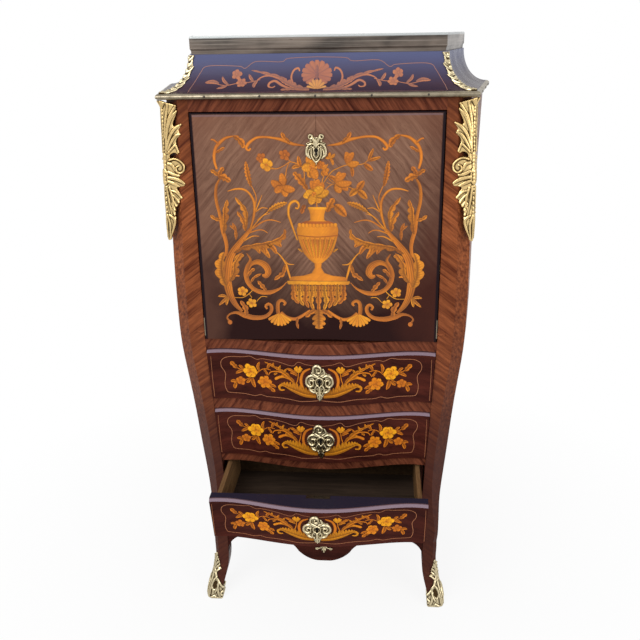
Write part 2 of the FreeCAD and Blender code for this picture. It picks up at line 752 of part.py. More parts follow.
class DrawerBay:
    """Sizes of one long drawer, taken from its opening in the front."""

    def __init__(self, name, z0, z1, pull):
        self.name = name
        self.z0 = z0
        self.z1 = z1
        self.pull = pull
        self.top = z1 - DRAWER_GAP
        self.bottom = z0 + DRAWER_GAP
        self.back = front_y(z0) - DRAWER_PROUD + DRAWER_FRONT_THICKNESS
        self.half = opening_half(z0) - DRAWER_SIDE_INSET
        self.end = REAR_BACK - DRAWER_BACK_GAP
        self.bolt_y = self.back - LOCK_DEPTH / 2
        self.key_z = (z0 + z1) / 2

    def drawn_out(self, solid):
        placed = solid.copy()
        placed.translate(Vector(0, -self.pull, 0))
        return placed

    def front(self):
        block = bombe_block(self.bottom, self.top, DRAWER_GAP, DRAWER_PROUD, self.back, DRAWER_BEVEL)
        return block.cut(lock_space(self.back, self.top, self.key_z))

    def box(self):
        low = self.z0 + RUN_GAP
        high = self.z1 - DRAWER_TOP_SPACE
        side = box(self.half - DRAWER_SIDE, self.half, self.back, self.end, low, high)
        inner = self.half - DRAWER_SIDE
        rear = box(-inner, inner, self.end - DRAWER_SIDE, self.end, low, high)
        return Part.makeCompound([side, mirrored(side), rear])

    def board(self):
        inner = self.half - DRAWER_SIDE
        low = self.z0 + DRAWER_BOTTOM_RISE
        return box(-inner, inner, self.back, self.end - DRAWER_SIDE, low, low + DRAWER_BOTTOM)

    def guides(self):
        """Side guides and front stops on the board that carries the drawer."""
        near = max(RAIL_BACK, self.back) + 2 * STOP_LENGTH
        half = self.half + RUN_GAP
        guide = box(half, opening_half(self.z0), near, self.end, self.z0, self.z0 + GUIDE_HEIGHT)
        start = self.back + RUN_GAP
        stop = box(STOP_INSET, STOP_INSET + STOP_WIDTH, start, start + STOP_LENGTH,
                   self.z0, self.z0 + STOP_HEIGHT)
        return [guide, mirrored(guide), stop, mirrored(stop)]

    def lock(self):
        return lock_case(self.back, self.top, self.key_z, self.bolt_y)

    def bolt(self):
        return bolt(self.top, self.bolt_y)

    def escutcheon(self):
        plate = cartouche(DRAWER_ESCUTCHEON_WIDTH, DRAWER_ESCUTCHEON_HEIGHT, self.key_z)
        return seated_plate(plate, self.front(), self.front_middle())

    def front_middle(self):
        return front_y(self.key_z) - DRAWER_PROUD - BOW_DRAWERS


BAYS = [
    DrawerBay("drawer_1", Z_DRAWER_1, Z_FALL_RAIL, 0.0),
    DrawerBay("drawer_2", Z_DRAWER_2, Z_UPPER_RAIL, 0.0),
    DrawerBay("drawer_3", Z_DRAWER_3, Z_LOWER_RAIL, DRAWER_3_PULL),
]


def drawer_guides():
    return Part.makeCompound([piece for bay in BAYS for piece in bay.guides()])


# Writing interior


BED_TOP = PIVOT_Z + FALL_NOSE
CASKET_HALF = STAY_X - CASKET_GAP
BED_FRONT = PIVOT_BEHIND + FALL_NOSE + BED_GAP
SHELF_Z = BED_TOP + SMALL_DRAWER_HEIGHT
UPPER_SHELF_Z = SHELF_Z + SHELF_THICKNESS + PIGEONHOLE_HEIGHT
CASKET_TOP = Z_FRIEZE
CASKET_INNER = CASKET_HALF - CASKET_BOARD


def writing_bed():
    return box(-CASKET_HALF, CASKET_HALF, BED_FRONT, REAR_BACK, Z_FALL, BED_TOP)


def pigeonhole_case():
    """Cheeks, top and two shelves of the fitted interior."""
    cheek = box(CASKET_INNER, CASKET_HALF, CASKET_FRONT, REAR_BACK, BED_TOP, CASKET_TOP)
    boards = [cheek, mirrored(cheek)]
    for z in (SHELF_Z, UPPER_SHELF_Z, CASKET_TOP - SHELF_THICKNESS):
        boards.append(box(-CASKET_INNER, CASKET_INNER, CASKET_FRONT, REAR_BACK, z, z + SHELF_THICKNESS))
    return Part.makeCompound(boards)


def pigeonhole_dividers():
    half = SHELF_THICKNESS / 2
    boards = [box(-half, half, CASKET_FRONT, REAR_BACK, BED_TOP, SHELF_Z)]
    low = SHELF_Z + SHELF_THICKNESS
    for x in (-PIGEONHOLE_DIVIDER_AT, PIGEONHOLE_DIVIDER_AT):
        boards.append(box(x - half, x + half, CASKET_FRONT, REAR_BACK, low, UPPER_SHELF_Z))
    return Part.makeCompound(boards)


SMALL_LEFT = SHELF_THICKNESS / 2 + SMALL_DRAWER_GAP
SMALL_RIGHT = CASKET_INNER - SMALL_DRAWER_GAP
SMALL_TOP = SHELF_Z - SMALL_DRAWER_GAP


def small_drawer():
    """Small drawer on the right of the interior: an open tray."""
    low = BED_TOP + RUN_GAP
    wall = SMALL_DRAWER_WALL
    tray = box(SMALL_LEFT, SMALL_RIGHT, CASKET_FRONT, REAR_BACK - wall, low, SMALL_TOP)
    hollow = box(SMALL_LEFT + wall, SMALL_RIGHT - wall, CASKET_FRONT + wall, REAR_BACK - 2 * wall, low + wall,
                 SMALL_TOP + 1)
    return tray.cut(hollow)


def small_knob():
    """Turned brass knob in the middle of the small drawer's front."""
    centre = (SMALL_LEFT + SMALL_RIGHT) / 2
    height = (BED_TOP + SMALL_TOP) / 2
    seat = Vector(centre, CASKET_FRONT, height)
    reach = KNOB_LENGTH - KNOB_RADIUS
    neck = Part.makeCylinder(KNOB_NECK, reach, seat, Vector(0, -1, 0))
    ball = Part.makeSphere(KNOB_RADIUS, seat + Vector(0, -reach, 0))
    return ball.fuse(neck).common(box(-BEYOND, BEYOND, -BEYOND, CASKET_FRONT, 0, Z_TOP)).removeSplitter()


# Gilt mounts


def symmetric_outline(half_points):
    """Closed outline from its right half, given from top to bottom as (x, z, swell) in drawing order.

    Each swell is how far the stretch to the next point bows outwards from its chord.
    """
    right = []
    for (x0, z0, swell), (x1, z1, _) in zip(half_points, half_points[1:]):
        a = Vector(x0, 0, z0)
        b = Vector(x1, 0, z1)
        if not swell:
            right.append(Part.LineSegment(a, b).toShape())
            continue
        run = b - a
        across = Vector(-run.z, 0, run.x)
        across.normalize()
        right.append(Part.Arc(a, (a + b) * 0.5 + across * swell, b).toShape())
    left = [mirrored(edge) for edge in right]
    return Part.Wire(Part.__sortEdges__(right + left))


def cartouche(width, height, middle):
    """Rococo keyhole plate: shell crest, scrolled shoulders, drawn-in waist and leaf drop."""
    w = width / 2
    h = height / 2
    half = [(0, h, 0.16 * w), (0.42 * w, 0.72 * h, 0.1 * w), (0.92 * w, 0.46 * h, 0.16 * w),
            (0.72 * w, 0.02 * h, -0.06 * w), (1.0 * w, -0.34 * h, 0.12 * w), (0.46 * w, -0.66 * h, 0.1 * w),
            (0, -h, 0)]
    plate = Part.Face(symmetric_outline(half))
    plate.translate(Vector(0, -BEYOND / 2, middle))
    plate = plate.extrude(Vector(0, BEYOND, 0))
    bore = Part.makeCylinder(KEYHOLE_RADIUS, BEYOND, Vector(0, -BEYOND / 2, middle), Vector(0, 1, 0))
    slot = box(-KEYHOLE_SLOT / 2, KEYHOLE_SLOT / 2, -BEYOND / 2, BEYOND / 2, middle - KEYHOLE_LENGTH, middle)
    return plate.cut(bore.fuse(slot))


def seated_plate(prism, carrier, surface_y):
    """The stretch of an upright prism that stands on the carrier's front."""
    near = surface_y - ESCUTCHEON_THICKNESS
    layer = box(-BEYOND, BEYOND, near, surface_y + ESCUTCHEON_THICKNESS, 0, Z_TOP)
    return prism.common(layer).cut(carrier)


def fall_escutcheon(panel):
    plate = cartouche(FALL_ESCUTCHEON_WIDTH, FALL_ESCUTCHEON_HEIGHT, KEY_Z_FALL)
    return seated_plate(plate, panel, -FALL_PROUD - FALL_BOW)


def apron_mount(carrier):
    """Leafy mount on the apron's lobe."""
    w = APRON_MOUNT_WIDTH / 2
    h = APRON_MOUNT_HEIGHT / 2
    half = [(0, h, 0.14 * w), (0.5 * w, 0.6 * h, 0.1 * w), (w, 0.3 * h, 0.12 * w),
            (0.6 * w, -0.3 * h, 0.08 * w), (0, -h, 0)]
    plate = Part.Face(symmetric_outline(half))
    plate.translate(Vector(0, -BEYOND / 2, Z_APRON - LOBE_DROP + h + APRON_MOUNT_RISE))
    plate = plate.extrude(Vector(0, BEYOND, 0))
    surface = front_y(Z_APRON) - BOW_APRON
    return seated_plate(plate, carrier, surface)


def corner_mount(post):
    """Acanthus mount on the canted corner of the right post, ending in a leaf drop."""
    w = CORNER_MOUNT_WIDTH / 2
    h = CORNER_MOUNT_HEIGHT
    leaf = [(0, 0, 0), (0.94 * w, -0.015 * h, 0.1 * w), (0.8 * w, -0.13 * h, 0.18 * w),
            (0.62 * w, -0.3 * h, 0.16 * w), (0.72 * w, -0.45 * h, 0.12 * w), (0.3 * w, -0.66 * h, 0.06 * w),
            (0.3 * w, -0.8 * h, 0.08 * w), (0, -h, 0)]
    spine = [(0, 0, 0), (0.5 * w, -0.02 * h, 0), (0.3 * w, -0.2 * h, 0.12 * w),
             (0.34 * w, -0.5 * h, 0.05 * w), (0.1 * w, -0.86 * h, 0), (0, -0.96 * h, 0)]
    top = Z_MOULDING - CORNER_MOUNT_DROP
    solid = corner_relief(leaf, CORNER_MOUNT_RELIEF, top).fuse(corner_relief(spine, CORNER_MOUNT_SPINE, top))
    return solid.removeSplitter().cut(post)


def corner_relief(half_points, relief, top):
    """An outline raised square to the canted corner, from behind its face to the given height."""
    depth = POST_CANT / 2
    face = Part.Face(symmetric_outline(half_points))
    face.translate(Vector(0, depth, 0))
    solid = face.extrude(Vector(0, -depth - relief, 0))
    swell = outer_x(top - CORNER_MOUNT_HEIGHT, 0.0) - outer_x(top, 0.0)
    lean = math.degrees(math.atan2(swell * math.sqrt(0.5), CORNER_MOUNT_HEIGHT))
    solid.rotate(Vector(0, 0, 0), Vector(1, 0, 0), -lean)
    solid.rotate(Vector(0, 0, 0), Vector(0, 0, 1), 45)
    middle = POST_CANT / 2
    solid.translate(Vector(HALF_TOP - middle, middle, top))
    return solid


def cove_mount(cove_body):
    """Leafy strip along the mitred corner of the cove on the right."""
    edge = HALF_TOP + CORNICE_OVERHANG
    length = COVE_PROJECTION
    w = COVE_MOUNT_WIDTH / 2
    ease = COVE_MOUNT_RELIEF
    along_mitre = [(-ease, 0.4 * w), (length * 0.2, w), (length * 0.45, 0.72 * w), (length * 0.7, w * 0.85),
                   (length, 0.5 * w)]
    plan = []
    for reach, side in along_mitre + [(r, -s) for r, s in reversed(along_mitre)]:
        across = side * math.sqrt(0.5)
        plan.append((edge - reach - across, reach - CORNICE_OVERHANG - across, Z_COVE))
    strip = Part.Face(closed(plan)).extrude(Vector(0, 0, COVE_HEIGHT))
    layer = cove_loft(COVE_MOUNT_RELIEF, COVE_MOUNT_RELIEF)
    return strip.common(layer).cut(cove_body).cut(cove_hollow())


def sabot(leg):
    """Gilt shoe round the right front foot, its leaf rising up the leg to a point."""
    shoe = loft([leg_wire(z, SABOT_WALL) for z in even_levels(0.0, SABOT_HEIGHT, LEG_STEP)])
    middle = HALF_TOP - ANKLE_DRAW_IN - LEG_WIDTH / 2
    low = SABOT_HEIGHT * 0.55
    wide = LEG_WIDTH
    outline = [(middle - 2 * wide, 0), (middle + 2 * wide, 0), (middle + 2 * wide, low),
               (middle + wide * 0.8, low), (middle, SABOT_HEIGHT), (middle - wide * 0.8, low),
               (middle - 2 * wide, low)]
    return shoe.common(upright_prism(outline, -BEYOND, BEYOND)).cut(leg)


def build():
    """All nodes by name, in modelling position."""
    post = front_post()
    rear = rear_post()
    side = side_panel()
    fall = fall_panel()
    front_apron = apron()
    cove_body = cove()
    wedge = mitre_wedge()
    mount = corner_mount(post)
    nodes = {
        "front_right_post": post,
        "front_left_post": mirrored(post),
        "rear_right_post": rear,
        "rear_left_post": mirrored(rear),
        "right_side": side,
        "left_side": mirrored(side),
        "back_panel": back_panel(),
        "carcass_top": slab(0.0, Z_MOULDING, Z_COVE),
        "frieze_rail": frieze_rail(),
        "fall_rail": rail(Z_FALL_RAIL, Z_FALL, BAYS[0].bolt_y),
        "upper_drawer_rail": rail(Z_UPPER_RAIL, Z_DRAWER_1, BAYS[1].bolt_y),
        "lower_drawer_rail": rail(Z_LOWER_RAIL, Z_DRAWER_2, BAYS[2].bolt_y),
        "apron": front_apron,
        "dust_boards": dust_boards(),
        "drawer_guides": drawer_guides(),
        "writing_bed": writing_bed(),
        "brass_moulding": brass_moulding(),
        "cove_front": cove_body.common(wedge),
        "cove_sides": cove_body.cut(wedge),
        "cornice_back": cornice_back(),
        "top_band": top_band(),
        "top_slab": top_slab(),
        "cove_mounts": both_sides(cove_mount(cove_body)),
        "corner_mount_right": mount,
        "corner_mount_left": mirrored(mount),
        "sabots": both_sides(sabot(post)),
        "apron_mount": apron_mount(front_apron),
        "fall_pivots": fall_pivots(),
        "stay_guides": stay_guides(),
        "pigeonhole_case": pigeonhole_case(),
        "pigeonhole_dividers": pigeonhole_dividers(),
        "small_drawer_right": small_drawer(),
        "small_drawer_left": mirrored(small_drawer()),
        "small_knob_right": small_knob(),
        "small_knob_left": mirrored(small_knob()),
        "fall_panel": fall,
        "writing_leather": leather_space(LEATHER_THICKNESS),
        "fall_escutcheon": fall_escutcheon(fall),
        "fall_lock": lock_case(FALL_BACK, FALL_TOP, KEY_Z_FALL, FALL_BOLT_Y),
        "fall_bolt": bolt(FALL_TOP, FALL_BOLT_Y),
        "quadrant_stays": both_sides(stay_bar()),
        "pivot_plates": pivot_plates(),
    }
    for bay in BAYS:
        nodes[bay.name + "_front"] = bay.drawn_out(bay.front())
        nodes[bay.name + "_box"] = bay.drawn_out(bay.box())
        nodes[bay.name + "_bottom"] = bay.drawn_out(bay.board())
        nodes[bay.name + "_escutcheon"] = bay.drawn_out(bay.escutcheon())
        nodes[bay.name + "_lock"] = bay.drawn_out(bay.lock())
        nodes[bay.name + "_bolt"] = bay.drawn_out(bay.bolt())
    return nodes


# The footprint runs from the drawn-out lowest drawer to the back panel
FRONT_REACH = BAYS[2].front_middle() - ESCUTCHEON_THICKNESS - DRAWER_3_PULL
ORIGIN_Y = (FRONT_REACH + DEPTH) / 2

os.makedirs("parts", exist_ok=True)
for node_name, node_shape in build().items():
    node_shape.translate(Vector(0, -ORIGIN_Y, 0))
    if not node_shape.isValid():
        print("not valid:", node_name)
    node_shape.exportStep("parts/" + node_name + ".step")
print("origin shift", round(ORIGIN_Y, 3), "pivot", round(PIVOT_BEHIND - ORIGIN_Y, 3), round(PIVOT_Z, 3))
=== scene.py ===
import math
import random

import bmesh
import bpy
import numpy as np
from bpy.props import FloatProperty, FloatVectorProperty, PointerProperty
from mathutils import Matrix, Vector
from mathutils.bvhtree import BVHTree


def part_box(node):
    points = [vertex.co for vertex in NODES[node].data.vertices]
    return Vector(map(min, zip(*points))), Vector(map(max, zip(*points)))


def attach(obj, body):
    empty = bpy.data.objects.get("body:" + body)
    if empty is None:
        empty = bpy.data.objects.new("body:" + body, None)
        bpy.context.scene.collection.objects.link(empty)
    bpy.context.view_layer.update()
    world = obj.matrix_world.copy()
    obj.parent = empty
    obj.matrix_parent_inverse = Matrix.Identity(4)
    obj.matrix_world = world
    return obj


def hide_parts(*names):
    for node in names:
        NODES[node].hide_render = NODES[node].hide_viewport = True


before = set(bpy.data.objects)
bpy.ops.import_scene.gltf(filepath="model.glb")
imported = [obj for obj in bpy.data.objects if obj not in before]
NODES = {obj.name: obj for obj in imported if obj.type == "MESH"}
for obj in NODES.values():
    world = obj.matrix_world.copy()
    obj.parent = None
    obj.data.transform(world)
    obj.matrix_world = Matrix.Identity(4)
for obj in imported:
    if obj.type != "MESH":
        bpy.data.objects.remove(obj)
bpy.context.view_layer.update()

bl_info = {
    "name": "Fall-front Escritoire",
    "version": (1, 0, 0),
    "blender": (4, 5, 0),
    "location": "3D View > Sidebar > Escritoire",
    "description": "Dresses the escritoire's solids with veneers, marquetry and gilt mounts",
    "category": "Object",
}

MM = 0.001
# Distance from which rays are sent, least length told from none, share along each axis at 45 degrees
FAR = 2.0
TINY = 1e-9
SLANT = 0.7071
BACKWARDS = Vector((0, 1, 0))
DRAWERS = ("drawer_1", "drawer_2", "drawer_3")


# Sizes and colours that a user would change


def colour(name, description, default):
    return FloatVectorProperty(name=name, description=description, default=default, size=3,
                               subtype="COLOR", min=0.0, max=1.0)


def length(name, description, default):
    return FloatProperty(name=name, description=description, default=default, subtype="DISTANCE",
                         unit="LENGTH", precision=5)


class ESCRITOIRE_PG_finish(bpy.types.PropertyGroup):
    """Colours of the woods, metals and leather."""

    kingwood_light: colour("Kingwood light", "Pale streaks of the kingwood veneer",
                           (0.375, 0.112, 0.039))
    kingwood_dark: colour("Kingwood dark", "Dark streaks of the kingwood veneer", (0.085, 0.02, 0.009))
    ground_light: colour("Fall ground", "Ground veneer of the fall front", (0.262, 0.141, 0.092))
    ground_dark: colour("Fall ground dark", "Dark figure of the fall's ground", (0.116, 0.056, 0.038))
    drawer_light: colour("Drawer ground", "Ground veneer of the drawer fronts", (0.085, 0.019, 0.012))
    drawer_dark: colour("Drawer ground dark", "Dark figure of the drawers' ground",
                        (0.028, 0.0065, 0.005))
    # This pale colour is a painted sheen: a painted reflection laid on faces that look up, on the
    # drawers' bevels and on the fall's crest.
    painted_sheen: colour("Wax bloom", "Pale bloom of old polish on edges that face up", (0.255, 0.187, 0.228))
    honey: colour("Honey wood", "Bright inlaid wood", (0.72, 0.215, 0.012))
    boxwood: colour("Boxwood", "Palest inlaid wood", (1.0, 0.45, 0.014))
    russet: colour("Russet wood", "Reddest inlaid wood", (0.36, 0.085, 0.014))
    tan: colour("Tan string", "Wood of the thin strings", (0.4, 0.16, 0.075))
    scorch: colour("Scorched shading", "Inlaid wood darkened in hot sand", (0.06, 0.014, 0.004))
    oak_light: colour("Oak light", "Pale oak of the drawer linings", (0.3, 0.17, 0.075))
    oak_dark: colour("Oak dark", "Dark grain of the oak", (0.12, 0.06, 0.026))
    interior_light: colour("Interior light", "Light figure of the interior veneer", (0.36, 0.155, 0.05))
    interior_dark: colour("Interior dark", "Dark figure of the interior veneer", (0.16, 0.055, 0.018))
    gilt: colour("Gilt bronze", "Mounts", (0.74, 0.53, 0.235))
    pale_gilt: colour("Pale gilt", "Worn gilding of the keyhole plates and sabots", (0.6, 0.51, 0.32))
    tarnish: colour("Tarnish", "Dirt and tarnish in the hollows of metal", (0.05, 0.03, 0.012))
    brass: colour("Brass", "Small fittings", (0.42, 0.32, 0.15))
    moulding: colour("Moulding", "Worn brass of the moulding under the cove", (0.29, 0.25, 0.18))
    band: colour("Band", "Polished band round the top", (0.16, 0.125, 0.1))
    iron: colour("Iron", "Locks and pins", (0.07, 0.064, 0.058))
    leather: colour("Leather", "Writing leather", (0.035, 0.075, 0.03))


class ESCRITOIRE_PG_ornament(bpy.types.PropertyGroup):
    """Sizes of the inlays and mounts."""

    inlay_lift: length("Inlay lift", "How far inlaid pieces stand above the ground veneer", 0.00016)
    inlay_depth: length("Inlay depth", "How deep inlaid pieces are let in", 0.0008)
    mount_cell: length("Mount cell", "Distance between points on the cast mounts", 0.001)
    mount_bed: length("Mount bed", "How far a mount is bedded into what carries it", 0.0012)


class ESCRITOIRE_PG_stage(bpy.types.PropertyGroup):
    """Camera and lamps."""

    focal: FloatProperty(name="Focal length", description="Camera lens", default=42.52, unit="CAMERA")
    eye: FloatVectorProperty(name="Eye", description="Place of the camera", size=3, subtype="XYZ",
                             unit="LENGTH", default=(0.1292, -1.6809, 1.4039))
    pitch: FloatProperty(name="Pitch", description="How far the camera looks down", default=0.3638,
                         subtype="ANGLE", unit="ROTATION")
    yaw: FloatProperty(name="Yaw", description="How far the camera turns to the left", default=0.0799,
                       subtype="ANGLE", unit="ROTATION")
    roll: FloatProperty(name="Roll", description="How far the camera leans", default=-0.0164,
                        subtype="ANGLE", unit="ROTATION")
    ambient: FloatProperty(name="Ambient", description="Light from all round", default=0.45)
    key: FloatProperty(name="Key", description="Power of the large lamp", default=95.0, unit="POWER")


def finish():
    return bpy.context.scene.escritoire_finish


def ornament():
    return bpy.context.scene.escritoire_ornament


# Curves, panels and meshes


def smooth_line(points, count, ring=False):
    """Points on a smooth curve through the given flat points."""
    pts = [Vector(p) for p in points]
    size = len(pts)
    spans = size if ring else size - 1
    line = []
    for i in range(count if ring else count + 1):
        u = i * spans / count
        k = min(int(u), spans - 1)
        t = u - k
        if ring:
            a, b, c, d = (pts[(k + s) % size] for s in (-1, 0, 1, 2))
        else:
            a, b, c, d = (pts[min(max(k + s, 0), size - 1)] for s in (-1, 0, 1, 2))
        line.append(0.5 * (2 * b + (c - a) * t + (2 * a - 5 * b + 4 * c - d) * t * t
                           + (3 * b - a - 3 * c + d) * t ** 3))
    return line


def even_line(points, step, least, trial):
    """Smooth curve cut into steps of about one length, and the number of its steps."""
    rough = smooth_line(points, trial * len(points))
    run = sum((b - a).length for a, b in zip(rough, rough[1:]))
    count = max(least, int(run / step))
    return smooth_line(points, count), count


def blend_list(values, share):
    """Value at a share of the way along a list."""
    at = share * (len(values) - 1)
    k = min(int(at), len(values) - 2)
    return values[k] + (values[k + 1] - values[k]) * (at - k)


def across(line, k):
    """Direction square to a flat line at one of its points."""
    run = line[min(k + 1, len(line) - 1)] - line[max(k - 1, 0)]
    if run.length < TINY:
        return Vector((0.0, 1.0))
    run.normalize()
    return Vector((-run.y, run.x))


def sides(both):
    """Signs of the halves to draw: the given one, or it and its mirror image."""
    return (1, -1) if both else (1,)


class Panel:
    """A CAD node's surface, met by rays, so that ornament lies on it."""

    def __init__(self, name):
        mesh = NODES[name].data
        self.tree = BVHTree.FromPolygons([v.co.copy() for v in mesh.vertices],
                                         [list(p.vertices) for p in mesh.polygons])

    def meet(self, start, direction):
        hit, normal, _, _ = self.tree.ray_cast(start, direction)
        if hit is None:
            raise RuntimeError("ornament reaches past its panel at " + str(list(start)))
        if normal.dot(direction) > 0:
            normal = -normal
        return hit, normal

    def from_front(self, base_z):
        """Flat (x, up) millimetres to a point and normal on the panel seen from the front."""
        def place(x, up):
            return self.meet(Vector((x * MM, -FAR, base_z + up * MM)), BACKWARDS)
        return place


def linked(name, data):
    """New object of the scene."""
    obj = bpy.data.objects.new(name, data)
    bpy.context.scene.collection.objects.link(obj)
    return obj


def new_object(name, mesh, material, body, replaced=()):
    """Piece of the part: it rides on a body, takes a slot and may replace nodes."""
    obj = linked(name, mesh)
    mesh.materials.append(material)
    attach(obj, body)
    if replaced:
        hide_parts(*replaced)
    return obj


def mesh_of(name, verts, faces):
    mesh = bpy.data.meshes.new(name)
    mesh.from_pydata([tuple(v) for v in verts], [], faces)
    mesh.validate()
    return mesh


def smooth_faces(mesh):
    mesh.polygons.foreach_set("use_smooth", [True] * len(mesh.polygons))


def paint_points(mesh, name, colours):
    layer = mesh.attributes.new(name, "FLOAT_COLOR", "POINT")
    layer.data.foreach_set("color", [c for rgba in colours for c in rgba])


def ring_faces(start, rings, count):
    """Faces of a closed shape made of stacked rings of points, from the lowest ring up."""
    faces = []
    for ring in range(rings - 1):
        low = start + ring * count
        for k in range(count):
            a, b = low + k, low + (k + 1) % count
            faces.append([a, b, b + count, a + count])
    last = start + (rings - 1) * count
    faces.append([last + k for k in range(count)])
    faces.append([start + k for k in range(count - 1, -1, -1)])
    return faces


# Places across a stem from edge to edge, and how dark each is scorched
PLAIN_STEM = ((1, 0.5, -0.1, -0.6, -1), (0.8, 0.2, 0.0, 0.15, 0.6))
RIBBED_STEM = ((1, 0.72, 0.46, 0.22, -0.02, -0.26, -0.5, -0.74, -1),
               (1.0, 0.35, 0.85, 0.15, 0.65, 0.0, 0.5, 0.0, 0.55))
RIBBED_WIDTH = 8
# Millimetres between the levels of pieces that overlap, and between neighbours on one level
LEVEL_STEP = 0.07
STAGGER = 0.011
STAGGER_ROUND = 6


class Inlay:
    """Cut pieces of one marquetry panel, drawn flat in millimetres before they are laid."""

    stem_step = 2.4
    leaf_step = 1.3

    def __init__(self, seed):
        self.pieces = []
        self.draw = random.Random(seed)

    def piece(self, rows, burns, tone, level, mirror):
        """A piece as rows of points across it, each with how dark it is scorched."""
        grain = self.draw.random()
        shift = self.draw.uniform(-0.08, 0.08)
        for side in sides(mirror):
            placed = [[Vector((p.x * side, p.y)) for p in row[::side]] for row in rows]
            burned = [row[::side] for row in burns]
            self.pieces.append((placed, burned, max(0.0, tone + shift), grain, level))

    def stem(self, points, widths, tone=0.45, mirror=True, level=0):
        """Tapering stem, shaded along one edge; a wide one is ribbed."""
        line, count = even_line(points, self.stem_step, 6, 4)
        shares, strands = RIBBED_STEM if max(widths) > RIBBED_WIDTH else PLAIN_STEM
        rows = []
        burns = []
        for k, p in enumerate(line):
            half = blend_list(widths, k / count) / 2
            side = across(line, k)
            fade = 0.3 * (1 - k / count) ** 2
            rows.append([p + side * half * share for share in shares])
            burns.append([min(1.0, burn + fade) for burn in strands])
        self.piece(rows, burns, tone, level, mirror)

    def leaf(self, points, width, lobes=1, tone=0.45, mirror=True, sides=(1, 1), level=1,
             edge=0.08, spine=0.95):
        """Leaf along a spine with lobed edges that lean to its tip; sides scale the two edges."""
        line, count = even_line(points, self.leaf_step, 10, 4)
        rows = []
        burns = []
        for k, p in enumerate(line):
            t = k / count
            swell = math.sin(math.pi * min(1.0, t * 0.94 + 0.06)) ** 0.75
            phase = (t * lobes) % 1.0
            tooth = 1.0
            if lobes > 1:
                tooth = 0.62 + 0.38 * math.sin(math.pi * min(1.0, phase * 1.12)) ** 0.7
            half = width / 2 * swell * tooth
            side = across(line, k)
            ahead = Vector((side.y, -side.x)) * (0.3 * half if lobes > 1 else 0.0)
            edge_a = p + side * half * sides[0] + ahead
            edge_b = p - side * half * sides[1] + ahead
            rows.append([edge_a, (p + edge_a) / 2, p, (p + edge_b) / 2, edge_b])
            base = 0.45 * (1 - t) ** 2
            notch = 0.9 * (1 - tooth)
            vein = 0.4 if k % 4 == 0 else 0.0
            burns.append([edge + base + notch, base + vein, spine, 0.38 * spine + base + 0.5 * vein,
                          edge + 0.35 + base + notch])
        self.piece(rows, burns, tone, level, mirror)

    def lily(self, centre, tips, width, tone=0.4, level=3, mirror=False):
        """Open lily: pointed petals from one heart to their tips."""
        heart = Vector(centre)
        for k, spot in enumerate(tips):
            tip = Vector(spot)
            side = Vector((heart.y - tip.y, tip.x - heart.x)) * (0.08 if k % 2 else -0.08)
            self.leaf([heart, (heart + tip) / 2 + side, tip], width, 1, tone, mirror,
                      level=level + k % 3, edge=0.45, spine=0.4)

    def ear(self, points, width, tone=0.4, mirror=True):
        """Ear of wheat with small grains along both edges."""
        self.leaf(points, width, 8, tone, mirror)

    def petal(self, centre, angle, reach, width, tone, level, mirror):
        """Petal notched at its end, shaded at its root and along one edge."""
        out = Vector((math.cos(angle), math.sin(angle)))
        side = Vector((-out.y, out.x))
        rows = []
        burns = []
        last = 7
        for k in range(last + 1):
            t = k / last
            half = width / 2 * (0.2 + 0.8 * math.sin(math.pi * (0.06 + 0.8 * t)) ** 1.4)
            if k == last:
                half *= 0.55
            p = centre + out * reach * (0.1 + 0.9 * t)
            dip = out * reach * (0.08 if k == last else 0.0)
            rows.append([p + side * half - dip, p + side * half * 0.5, p - dip * 1.3,
                         p - side * half * 0.5, p - side * half - dip])
            base = 0.6 * (1 - t) ** 2
            burns.append([0.9, base, base + 0.12, base, 0.3 + 0.5 * base])
        self.piece(rows, burns, tone, level, mirror)

    def disc(self, centre, radius, tone=0.5, level=5, mirror=True):
        """Round piece, for an eye or a bead."""
        rows = []
        burns = []
        for k in range(7):
            y = math.cos(math.pi * k / 6) * radius
            half = math.sqrt(max(0.0, radius * radius - y * y)) + 0.05
            rows.append([Vector((centre[0] + s * half, centre[1] + y)) for s in (-1, -0.3, 0.3, 1)])
            burns.append([0.6, 0.1, 0.1, 0.4])
        self.piece(rows, burns, tone, level, mirror)

    def flower(self, centre, radius, petals=5, turn=0.0, tone=0.3, mirror=True):
        """Open flower: a ring of petals round an eye."""
        middle = Vector(centre)
        for k in range(petals):
            angle = math.radians(turn) + 2 * math.pi * k / petals
            reach = radius * self.draw.uniform(0.9, 1.15)
            self.petal(middle, angle, reach, radius * 4.4 / petals, tone, 3 + k % 2, mirror)
        self.disc(centre, radius * 0.2, 0.75, 6, mirror)

    def rose(self, centre, radius, turn=0.0, tone=0.2, mirror=True):
        """Full rose: three rings of petals round a small heart."""
        middle = Vector(centre)
        for ring, (reach, count) in enumerate(((1.0, 6), (0.72, 5), (0.42, 3))):
            for k in range(count):
                angle = math.radians(turn + 25 * ring) + 2 * math.pi * k / count
                far = radius * reach * self.draw.uniform(0.88, 1.16)
                self.petal(middle, angle, far, radius * reach * 4.9 / count, tone + 0.1 * ring,
                           3 + 2 * ring + k % 2, mirror)
        self.disc(centre, radius * 0.12, 0.8, 9, mirror)

